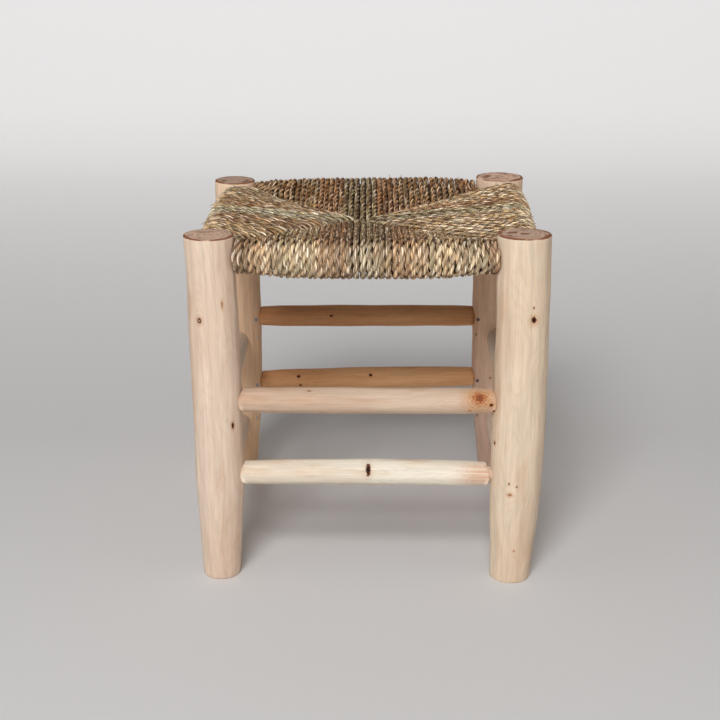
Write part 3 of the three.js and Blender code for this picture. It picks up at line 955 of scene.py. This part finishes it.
def cord_section(thickness, sides):
    """Outline of two plies pressed together: points round the cord, and the angle of each round its own ply.
    Each ply is folded from four leaves."""
    ply = PLY_SHARE * thickness
    apart = REACH_SHARE * thickness - ply
    crease = math.acos(-apart / ply)
    steps = sides // 2
    points, angles = [], []
    for sign in (1, -1):
        for step in range(steps):
            angle = -crease + 2 * crease * (step + 0.5) / steps
            fold = ply * (1 + FOLD_SHARE * math.cos(4 * math.pi * (angle / crease + 1)))
            points.append((sign * (apart + fold * math.cos(angle)), sign * fold * math.sin(angle)))
            angles.append(angle)
    return np.array(points), np.array(angles)


def tangent_angle(radius, u, z, side):
    """Angle on a circle round the origin at which a straight cord from (u, z) meets it. side is 1 over
    the top and -1 under the bottom."""
    reach = max(math.hypot(u, z), radius * RUN_UP_SHARE)
    return math.atan2(z, u) + side * math.acos(radius / reach)


def resampled(at, lengths, points):
    """Points at given lengths along a line."""
    return np.column_stack([np.interp(at, lengths, column) for column in points.T])


def round_rail(inward):
    """How far a cord lies round its rail: 0 above and below the seat, 1 on the rail's outer side."""
    return np.clip(-inward / RAIL_TURN, 0, 1)


class PanelWeave:
    """One mitred quarter of the seat, of which half is wound: where each cord passes over the rail, where it
    meets the mitre on top and below, and the route between."""

    def __init__(self, side, half):
        rush = bpy.context.scene.kursi_rush
        self.side = side
        self.bar = RAILS[side]
        self.axes = [np.array(axis) for axis in (self.bar.start, self.bar.aside, self.bar.along)]
        self.cord = rush.cord
        self.over = side in ("left", "right")
        self.rng = np.random.default_rng([*side.encode(), half])
        tips = [BAND_TIPS["left"], BAND_TIPS["right"]]
        tips = {"front": tips, "back": tips[::-1], "left": tips[:1], "right": tips[1:]}[side]
        spots = [self.post_corner(self.bar.ends[0])]
        spots += [Vector((tip, 0, 0)) + MIDDLE for tip in tips]
        spots += [self.post_corner(self.bar.ends[1])]
        away = [spot - self.bar.start for spot in spots]
        self.knees = [(spot.dot(self.bar.along), spot.dot(self.bar.aside)) for spot in away]
        self.span = (self.knees[0][0], self.knees[-1][0])
        counts = [rush.half_cords, rush.half_cords]
        stops = [self.span[0], self.knees[1][0], self.span[1]]
        if not self.over:
            counts.insert(1, rush.band_cords)
            stops = [knee[0] for knee in self.knees]
        self.places = []
        for count, low, high in zip(counts, stops, stops[1:]):
            self.places += [low + (high - low) * (i + 0.5) / count for i in range(count)]
        middle = len(self.places) // 2
        self.turns = range(middle) if half == 1 else range(middle, len(self.places))

    def post_corner(self, name):
        """The inner corner of a post, where the first cords of two panels cross."""
        post = POSTS[name]
        height = self.bar.z[0]
        clear = post.radius(height) + FIT_GAP
        centre = post.centre(height)
        return Vector((centre[0] - post.corner[0] * clear, centre[1] - post.corner[1] * clear, 0))

    def mitre(self, along):
        """Distance in from the rail at which a cord meets the mitre, the height of the cords on top there,
        and how near that is to the post."""
        at = [knee[0] for knee in self.knees]
        reach = np.interp(along, at, [knee[1] for knee in self.knees])
        first, last = (MITRE_HEIGHTS[end] for end in self.bar.ends)
        near_first = np.interp(along, at[:2], [0, 1])
        near_last = np.interp(along, at[-2:], [1, 0])
        height = np.interp(near_first, MITRE_SHARES, first) if near_first < 1 else first[-1]
        if near_last < 1:
            height = np.interp(near_last, MITRE_SHARES, last)
        elif near_first >= 1:
            height = np.interp(along, at[1:3], [first[-1], last[-1]])
        return float(reach), float(height), 1 - min(near_first, near_last)

    def section(self, along):
        """The route of a cord's centre in the plane across its rail: (distance in, height) points."""
        reach, height, corner = self.mitre(along)
        if self.over:
            reach += MITRE_LAP * (1 - corner) ** 6
        share = along / self.bar.length
        heap = float(np.interp(share, *zip(*HEAPS[self.side])))
        rail = float(self.bar.radius_at(np.array(share)))
        middle = float(self.bar.centre(share)[2]) + heap / 2
        radius = rail * PADDED_SHARE + FIT_GAP + (self.cord + heap) / 2
        half = self.cord / 2
        sink = 0 if self.over else SINK_SHARE * self.cord
        top = height - half - sink
        under = SEAT_UNDER + UNDER_RISE * corner + half + sink * UNDER_SINK_SHARE
        head = OVER_HEAD if self.over else BELOW_HEAD
        first = tangent_angle(radius, reach, top - middle, 1)
        last = tangent_angle(radius, reach, under - middle, -1) + TURN
        wrap = np.linspace(first, last, WRAP_POINTS)
        route = [(reach + u, top + z) for u, z in head] + [(reach - HEAD_START, top)]
        route += [(radius * math.cos(a), middle + radius * math.sin(a)) for a in wrap]
        route += [(reach - HEAD_START, under)] + [(reach + u, under - z) for u, z in head[::-1]]
        return np.array(route)

    def spread(self, place, inward):
        """How far a cord shifts towards the nearer post, so that the first cords lie along its round side."""
        end = int(place - self.span[0] > self.span[1] - place)
        post = POSTS[self.bar.ends[end]]
        room = post.radius(self.bar.z[end]) - shoulder(self.bar, end, inward)
        near = max(1 - abs(place - self.span[end]) / SPREAD_LENGTH, 0)
        return (1 if end else -1) * near * np.minimum(SPREAD_SHARE * room, SPREAD_MOST)

    def route(self, index, step):
        """A cord's centre as evenly spaced points, with their distance in and their length along it."""
        wide = self.section(self.places[index])
        lengths = np.concatenate([[0], np.cumsum(np.hypot(*np.diff(wide, axis=0).T))])
        fine = np.arange(0, lengths[-1], ROUTE_STEP)
        edge = BLUR_POINTS // 2
        padded = np.pad(resampled(fine, lengths, wide), ((edge, edge), (0, 0)), mode="edge")
        window = np.ones(BLUR_POINTS) / BLUR_POINTS
        smooth = np.column_stack([np.convolve(column, window, mode="valid") for column in padded.T])
        count = max(int(round(fine[-1] / step)), 8)
        at = np.linspace(0, fine[-1], count + 1)
        flat = resampled(at, fine, smooth)
        sway = waves(self.rng, "cord sway")
        lift = waves(self.rng, "cord lift")
        loose = SWAY + RAIL_SWAY * round_rail(flat[:, 0])
        along = self.places[index] + self.rng.normal(0, SCATTER) + loose * sway(at)
        along = along + self.spread(self.places[index], flat[:, 0])
        start, aside, way = self.axes
        spots = start + along[:, None] * way + flat[:, :1] * aside
        spots[:, 2] = flat[:, 1] + LIFT * lift(at)
        return spots, flat[:, 0], at


def cord_colours(weave, index, inward, at):
    """Colours of a cord's two plies along it: near the mean of their zone, drifting, and paler where the
    cord goes round the rail."""
    share = (weave.places[index] - weave.span[0]) / (weave.span[1] - weave.span[0])
    names = next(names for limit, names in CORD_ZONES[weave.side] if share <= limit)
    zone = [np.array(RUSH[name]) for name in names.split()]
    mean = sum(zone) / len(zone)
    outer = round_rail(inward)[:, None]
    own = weave.rng.uniform(*CORD_TONES)
    plies = []
    for _ in range(2):
        first, second = weave.rng.choice(len(zone), 2)
        drift = np.clip(0.5 + COLOUR_DRIFT * waves(weave.rng, "cord colour")(at), 0, 1)[:, None]
        drifting = zone[first] * (1 - drift) + zone[second] * drift
        colour = MEAN_SHARE * mean + (1 - MEAN_SHARE) * drifting
        colour = colour * (1 - RAIL_PALE_SHARE * outer) + np.array(RUSH["pale"]) * RAIL_PALE_SHARE * outer
        # Each panel's top and the part of a cord round the rail get their own tints.
        region_tint = np.array(TOP_TINTS[weave.side]) * (1 - outer) + np.array(RAIL_TINT) * outer
        plies.append(colour * own * weave.rng.uniform(*PLY_TONES) * region_tint)
    return plies


def add_spline(curve, spots, tilt, girth):
    """Adds a line through given spots to a curve, drawn to a point at both ends."""
    girth[[0, -1]] = 0
    spline = curve.splines.new("POLY")
    spline.points.add(len(spots) - 1)
    spline.points.foreach_set("co", np.column_stack([spots, np.ones(len(spots))]).ravel())
    spline.points.foreach_set("tilt", tilt)
    spline.points.foreach_set("radius", girth)


def wind_cord(curve, weave, index, phase, angles, depth):
    """Adds one cord to a curve and gives back the places of its rings and the values of its vertices. angles
    and depth hold, for each point of its section, the angle round its own ply and its share of the way out
    from the cord's middle. Its colours carry painted shade deep in the furrow between the plies and a painted
    highlight on their crowns. The leaves turn back inside each ply, as in any laid cord, and the plies lie
    open where the cord goes round the rail."""
    rush = bpy.context.scene.kursi_rush
    rng = weave.rng
    sides = len(angles)
    spots, inward, at = weave.route(index, rush.step)
    count = len(spots)
    pace = 1 + PACE_CHANGE * waves(rng, "cord pace")(at)
    period = rush.twist * TWIST_SHARES[weave.side]
    twist = phase + TURN * np.concatenate([[0], np.cumsum(np.diff(at) * pace[1:])]) / period
    slack = round_rail(inward)
    girth = FLAT_GIRTH + SLACK_GIRTH * slack
    girth = girth * (1 + GIRTH_CHANGE * waves(rng, "cord girth")(at)) * rng.uniform(*GIRTH_RANGE)
    add_spline(curve, spots, twist, girth)
    first, second = cord_colours(weave, index, inward, at)
    colour = np.ones((count, sides, 4))
    colour[:, : sides // 2, :3] = first[:, None]
    colour[:, sides // 2 :, :3] = second[:, None]
    # Painted shade in the furrow between the plies and painted highlight on their crowns, weaker round the
    # rail.
    furrow = np.interp(depth, FURROW_DEPTHS, FURROW_TONES) ** (1 - OPEN_SHARE * slack[:, None])
    colour[..., :3] *= furrow[..., None] ** FURROW_SHADE_POWERS
    colour[..., 3] = 1 - slack[:, None]
    leaf_angle = angles - TURN_BACK[weave.side] * twist[:, None]
    second_ply = np.arange(sides) >= sides // 2
    lay = np.empty((count, sides, 3))
    lay[..., 0] = np.cos(leaf_angle)
    lay[..., 1] = np.sin(leaf_angle)
    lay[..., 2] = at[:, None] + np.where(second_ply, *rng.uniform(0, PATTERN_LENGTH, 2))
    swell = np.column_stack([waves(rng, "leaf swell")(at) for _ in range(8)])
    folds = 1 + rush.leaf_swell * np.repeat(swell, sides // 8, axis=1)
    return spots, folds * (KEPT_DEPTH / depth) ** (rush.open_plies * slack[:, None]), colour, lay


def loose_end(weave, rng, spots):
    """A broken leaf that stands out from a cord: its places, colour and thickness as a share of the cord."""
    rush = bpy.context.scene.kursi_rush
    at = int(rng.integers(LOOSE_CLEAR[0], len(spots) - LOOSE_CLEAR[1]))
    forward = spots[at + LOOSE_AIM] - spots[at]
    forward /= np.linalg.norm(forward)
    way = weave.axes[2]
    out = np.cross(forward, way)
    share = np.linspace(0, 1, LOOSE_POINTS)[:, None]
    rise = LOOSE_ROOT + LOOSE_RISE * share**0.5 + rng.uniform(0, LOOSE_CURL) * share**2
    places = spots[at] + forward * rng.uniform(*LOOSE_LENGTHS) * share + out * rise
    places += way * rng.uniform(-LOOSE_LEAN, LOOSE_LEAN) * share**2
    colour = (*(rng.uniform(*LOOSE_TONES) * np.array(RUSH["pale"])), 0)
    return places, colour, rush.loose_end / rush.cord


def stuffing_rolls(weave):
    """Rolls of waste rush that fill the pocket between the layers, side by side along the rail, coloured near
    black as painted shade there, as places, colour and thickness as a share of the cord."""
    rush = bpy.context.scene.kursi_rush
    height = (SEAT_TOP + SEAT_UNDER) / 2
    radius = (SEAT_TOP - SEAT_UNDER) / 2 - rush.cord
    start, aside, way = weave.axes
    deepest = max(knee[1] for knee in weave.knees)
    rolls = []
    inward = rush.roll_start
    while inward < deepest - 2 * radius:
        room = inward + 2 * radius
        reached = [along for along in np.linspace(*weave.span, ROLL_TRIES) if weave.mitre(along)[0] > room]
        if len(reached) > 1:
            along = np.arange(reached[0], reached[-1], ROLL_STEP)
            spots = start + along[:, None] * way + inward * aside
            spots[:, 2] = height
            if len(along) > 3:
                rolls.append((spots, (*STUFFING_SHADE, 1), ROLL_GIRTH_SHARE * radius / rush.cord))
        inward += ROLL_SPACE_SHARE * radius
    return rolls


def build_panel(side, half, section, points, angles):
    """Winds half of a panel: every cord is a swept section that turns as it goes, and all become one mesh."""
    rush = bpy.context.scene.kursi_rush
    weave = PanelWeave(side, half)
    sides = len(points)
    curve = bpy.data.curves.new(f"winding_{side}_{half}", "CURVE")
    curve.dimensions = "3D"
    curve.bevel_mode = "OBJECT"
    curve.bevel_object = section
    curve.twist_mode = "MINIMUM"
    cords = []
    depth = np.hypot(*points.T)
    phase = weave.rng.uniform(0, TURN)
    for index in weave.turns:
        phase += rush.drift * math.pi + weave.rng.normal(0, PHASE_SCATTER)
        cords.append(wind_cord(curve, weave, index, phase, angles, depth / depth.max()))
    rng = np.random.default_rng([*side.encode(), half, LOOSE_SEED])
    plain = [loose_end(weave, rng, cord[0]) for cord in cords]
    if half == 1:
        plain += stuffing_rolls(weave)
    for spots, colour, width in plain:
        shape = (len(spots), sides)
        tilt = TURN * np.arange(len(spots)) / PLAIN_TURN_POINTS
        add_spline(curve, spots, tilt, np.full(len(spots), width))
        cords.append((spots, np.ones(shape), np.tile(colour, (*shape, 1)), np.tile((1, 0, 0), (*shape, 1))))
    wound = bpy.data.objects.new(curve.name, curve)
    bpy.context.scene.collection.objects.link(wound)
    mesh = bpy.data.meshes.new_from_object(wound.evaluated_get(bpy.context.evaluated_depsgraph_get()))
    mesh.name = f"rush_cords_{side}_{half}"
    bpy.data.objects.remove(wound)
    lines, swells, colours, lays = zip(*cords)
    middles = np.concatenate([np.repeat(line, sides, axis=0) for line in lines])
    swell = np.concatenate([part.ravel() for part in swells])[:, None]
    mesh.vertices.foreach_set("co", (middles + (coordinates(mesh) - middles) * swell).ravel())
    add_attribute(mesh, "cord_colour", "FLOAT_COLOR", np.concatenate([c.reshape(-1, 4) for c in colours]))
    add_attribute(mesh, "lay", "FLOAT_VECTOR", np.concatenate([lay.reshape(-1, 3) for lay in lays]))
    close_cords(mesh)
    piece = add_object(mesh.name, mesh)
    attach(piece, "root")
    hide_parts(f"seat_weave_{side}")
    return piece


def close_cords(mesh):
    """Draws each cord's end ring together to a point and turns every face outwards."""
    bm = bmesh.new()
    bm.from_mesh(mesh)
    bmesh.ops.remove_doubles(bm, verts=bm.verts, dist=MERGE_GAP)
    bmesh.ops.recalc_face_normals(bm, faces=bm.faces)
    bm.to_mesh(mesh)
    bm.free()


def rush_material():
    """Dry rush leaves laid along the plies: narrow strips that differ in tone, with dark slits of painted
    shade between. Where the cords go round a rail the leaves are worn more alike."""
    s = Shader("rush_cord")
    lay = s.attribute("lay")
    own = s.attribute("cord_colour", "Color")
    lies_flat = s.attribute("cord_colour", "Alpha")
    bends = {"Vector": s.stretched(lay, *BEND_SCALES), "Scale": 1.0, "Detail": 1.0}
    wander = s.node("ShaderNodeTexNoise", bends).outputs["Color"]
    bend = s.stretched(s.vector("SUBTRACT", wander, (0.5, 0.5, 0.5)), 0.5, 0.5, 0)
    place = s.vector("ADD", s.stretched(lay, *LEAF_SCALES), bend)
    leaf = s.node("ShaderNodeSeparateColor", {0: s.leaves(place, "F1", "Color")}).outputs
    slit = s.leaves(place, "DISTANCE_TO_EDGE", "Distance")
    fine = s.noise(s.stretched(lay, *LINE_SCALES), 1, 2, 0.6)
    deep = s.scaled(s.vector("POWER", own, DEEP_POWERS), 0.5)
    bleached = s.scaled(s.vector("POWER", own, BLEACHED_POWERS), 1.48)
    colour = s.mix(s.remap(leaf[0], 0, 0.5, 0, 1), deep, own)
    colour = s.mix(s.remap(leaf[0], 0.5, 1, 0, 1), colour, bleached)
    colour = s.mix(s.remap(leaf[1], 0.72, 0.95, 0, 0.6), colour, RED_LEAF)
    colour = s.mix(s.remap(leaf[2], 0.7, 1, 0, 0.4), colour, GREY_LEAF)
    colour = s.scaled(colour, s.vary(fine, 0.82, 1.2))
    # Painted shade in the slits between the leaves.
    colour = s.mix(s.remap(slit, 0.02, 0.21, 0.97, 0), colour, SLIT)
    colour = s.mix(s.remap(lies_flat, 0, 1, 0.24, 0), colour, own)
    s.bump(s.plus(s.remap(slit, 0, 0.2, 0, 1), s.times(fine, 0.4)), "rush", 0.75)
    return s.finish(colour, s.remap(leaf[0], 0, 1, 0.62, 0.42), 0.36)


def rail_material():
    """Rough wood of the hidden rails."""
    s = Shader("rail_wood")
    grain = s.noise(s.object_place(), 140, 4, 0.6)
    colour = s.mix(s.vary(grain, 0, 1), *SHADED_RAIL_BROWNS)
    s.bump(grain, "rail", 0.5)
    return s.finish(colour, 0.8, 0.2)


def steel_material(name, clean):
    """Dull wire nail, bluish, with rust over all but a clean share of it."""
    s = Shader(name)
    rust = s.noise(s.object_place(), 900, 3, 0.6)
    colour = s.mix(s.remap(rust, clean, clean + 0.2, 0, 0.8), STEEL, RUST)
    s.surface.inputs["Metallic"].default_value = 0.85
    s.bump(rust, "steel", 0.4)
    return s.finish(colour, s.remap(rust, 0.4, 0.7, 0.32, 0.7), 0.5)


class KURSI_OT_posts(bpy.types.Operator):
    """Model the four hewn posts"""

    bl_idname = "kursi.posts"
    bl_label = "Hewn posts"

    def execute(self, context):
        for name, post in POSTS.items():
            build_post(name, post)
        return {"FINISHED"}


class KURSI_OT_rungs(bpy.types.Operator):
    """Model the eight rungs, with their shoulders scribed to the posts"""

    bl_idname = "kursi.rungs"
    bl_label = "Rungs"

    def execute(self, context):
        for name, bar in RUNGS.items():
            build_rung(name, bar)
        return {"FINISHED"}


class KURSI_OT_rails(bpy.types.Operator):
    """Finish the four rails inside the seat"""

    bl_idname = "kursi.rails"
    bl_label = "Seat rails"

    def execute(self, context):
        material = rail_material()
        for side in RAILS:
            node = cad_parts[f"seat_rail_{side}"]
            node.data.materials.clear()
            node.data.materials.append(material)
        return {"FINISHED"}


class KURSI_OT_nails(bpy.types.Operator):
    """Finish the nails that pin the rungs"""

    bl_idname = "kursi.nails"
    bl_label = "Nails"

    def execute(self, context):
        wire, rusted = steel_material("nail_steel", 0.5), steel_material("nail_rust", 0.15)
        for name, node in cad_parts.items():
            if name.startswith("nail_"):
                low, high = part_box(name)
                node.data.materials.clear()
                node.data.materials.append(rusted if low[0] + high[0] > 0 else wire)
        return {"FINISHED"}


class KURSI_OT_seat(bpy.types.Operator):
    """Wind the seat's four panels from two-ply rush cord"""

    bl_idname = "kursi.seat"
    bl_label = "Rush seat"

    def execute(self, context):
        rush = context.scene.kursi_rush
        outline = bpy.data.curves.new("cord_section", "CURVE")
        outline.dimensions = "2D"
        points, angles = cord_section(rush.cord, rush.section_points)
        spline = outline.splines.new("POLY")
        spline.points.add(len(points) - 1)
        for point, (x, y) in zip(spline.points, points):
            point.co = (x, y, 0, 1)
        spline.use_cyclic_u = True
        section = bpy.data.objects.new("cord_section", outline)
        context.scene.collection.objects.link(section)
        material = rush_material()
        for side in RAILS:
            for half in (1, 2):
                piece = build_panel(side, half, section, points, angles)
                piece.data.materials.clear()
                piece.data.materials.append(material)
        bpy.data.objects.remove(section)
        return {"FINISHED"}


def add_area_light(name, place, target, size, power, colour=(1, 1, 1)):
    data = bpy.data.lights.new(name, "AREA")
    data.shape = "DISK"
    data.color = colour
    data.size = size
    data.energy = power
    light = bpy.data.objects.new(name, data)
    light.location = place
    light.rotation_euler = (Vector(target) - Vector(place)).to_track_quat("-Z", "Y").to_euler()
    bpy.context.scene.collection.objects.link(light)


def extruded(bm, edges, way):
    """Extrudes edges, and gives back the new vertices and the edges between them."""
    grown = bmesh.ops.extrude_edge_only(bm, edges=edges)["geom"]
    far = [item for item in grown if isinstance(item, bmesh.types.BMVert)]
    bmesh.ops.translate(bm, verts=far, vec=way)
    rim = [item for item in grown if isinstance(item, bmesh.types.BMEdge)]
    return far, [edge for edge in rim if all(vert in far for vert in edge.verts)]


def add_backdrop(colour):
    """A pale floor that curves up into a backdrop well behind the stool. The camera sees it lighter the
    farther back it lies, from a painted glow that only camera rays see."""
    bm = bmesh.new()
    ends = [bm.verts.new((x, FLOOR_FRONT, 0)) for x in (-FLOOR_HALF_WIDTH, FLOOR_HALF_WIDTH)]
    far, rim = extruded(bm, [bm.edges.new(ends)], (0, FLOOR_BACK - FLOOR_FRONT, 0))
    bend = bmesh.ops.spin(
        bm, geom=rim + far, cent=(0, FLOOR_BACK, BEND_RADIUS), axis=(1, 0, 0), angle=math.pi / 2, steps=24,
        use_merge=False,
    )
    last = [item for item in bend["geom_last"] if isinstance(item, bmesh.types.BMEdge)]
    extruded(bm, last, (0, 0, BACKDROP_HEIGHT))
    bmesh.ops.recalc_face_normals(bm, faces=bm.faces)
    mesh = bpy.data.meshes.new("floor")
    bm.to_mesh(mesh)
    bm.free()
    floor = add_object("floor", mesh)
    s = Shader("floor")
    depth = s.node("ShaderNodeSeparateXYZ", {0: s.object_place()}).outputs[1]
    to_camera = s.node("ShaderNodeLightPath", {}).outputs["Is Camera Ray"]
    # A painted glow, seen only by the camera, makes the floor and backdrop paler farther back.
    s.put(s.surface.inputs["Emission Strength"], s.times(s.remap(depth, *BACKDROP_GLOW), to_camera))
    floor.data.materials.append(s.finish((*colour, 1), 0.75, 0.2))


class KURSI_OT_stage(bpy.types.Operator):
    """Set out the floor, the lights and the camera"""

    bl_idname = "kursi.stage"
    bl_label = "Stage"

    def execute(self, context):
        stage = context.scene.kursi_stage
        scene = context.scene
        scene.view_settings.view_transform = "Standard"
        add_backdrop(stage.floor)
        add_area_light("key", KEY_PLACE, LIGHT_TARGET, KEY_SIZE, stage.key_power)
        for side, colour in FILL_COLOURS.items():
            place = (-FILL_PLACE[0] if side == "left" else FILL_PLACE[0], *FILL_PLACE[1:])
            add_area_light(f"fill_{side}", place, LIGHT_TARGET, FILL_SIZE, stage.fill_power, colour)
        world = bpy.data.worlds.new("studio")
        world.use_nodes = True
        nodes, links = world.node_tree.nodes, world.node_tree.links
        background = nodes["Background"]
        background.inputs["Color"].default_value = WORLD_COLOUR
        seen = nodes.new("ShaderNodeMapRange")
        seen.inputs["To Min"].default_value = stage.world
        seen.inputs["To Max"].default_value = stage.horizon
        links.new(nodes.new("ShaderNodeLightPath").outputs["Is Camera Ray"], seen.inputs["Value"])
        links.new(seen.outputs["Result"], background.inputs["Strength"])
        scene.world = world
        data = bpy.data.cameras.new("camera")
        data.lens = LENS
        data.sensor_width = SENSOR_WIDTH
        camera = bpy.data.objects.new("camera", data)
        camera.location = Vector(CAMERA_PLACE) + MIDDLE
        camera.rotation_euler = (math.pi / 2 - math.radians(CAMERA_PITCH), 0, math.radians(CAMERA_YAW))
        scene.collection.objects.link(camera)
        scene.camera = camera
        return {"FINISHED"}


class KURSI_PT_stool(bpy.types.Panel):
    """Sizes, colours and steps of the stool"""

    bl_label = "Kursi stool"
    bl_idname = "KURSI_PT_stool"
    bl_space_type = "VIEW_3D"
    bl_region_type = "UI"
    bl_category = "Kursi stool"

    def draw(self, context):
        for group in (context.scene.kursi_wood, context.scene.kursi_rush, context.scene.kursi_stage):
            box = self.layout.box()
            for name in group.bl_rna.properties.keys():
                if name not in ("rna_type", "name"):
                    box.prop(group, name)
        for operator in OPERATORS:
            self.layout.operator(operator.bl_idname)


GROUPS = {"kursi_wood": KursiWood, "kursi_rush": KursiRush, "kursi_stage": KursiStage}
OPERATORS = (
    KURSI_OT_stage, KURSI_OT_posts, KURSI_OT_rungs, KURSI_OT_rails, KURSI_OT_nails, KURSI_OT_seat,
)


def register():
    for name, group in GROUPS.items():
        bpy.utils.register_class(group)
        setattr(bpy.types.Scene, name, bpy.props.PointerProperty(type=group))
    for cls in (*OPERATORS, KURSI_PT_stool):
        bpy.utils.register_class(cls)


def unregister():
    for cls in (KURSI_PT_stool, *reversed(OPERATORS)):
        bpy.utils.unregister_class(cls)
    for name, group in GROUPS.items():
        delattr(bpy.types.Scene, name)
        bpy.utils.unregister_class(group)


def main():
    register()
    bpy.ops.kursi.stage()
    bpy.ops.kursi.posts()
    bpy.ops.kursi.rungs()
    bpy.ops.kursi.rails()
    bpy.ops.kursi.nails()
    bpy.ops.kursi.seat()


if __name__ == "__main__":
    main()
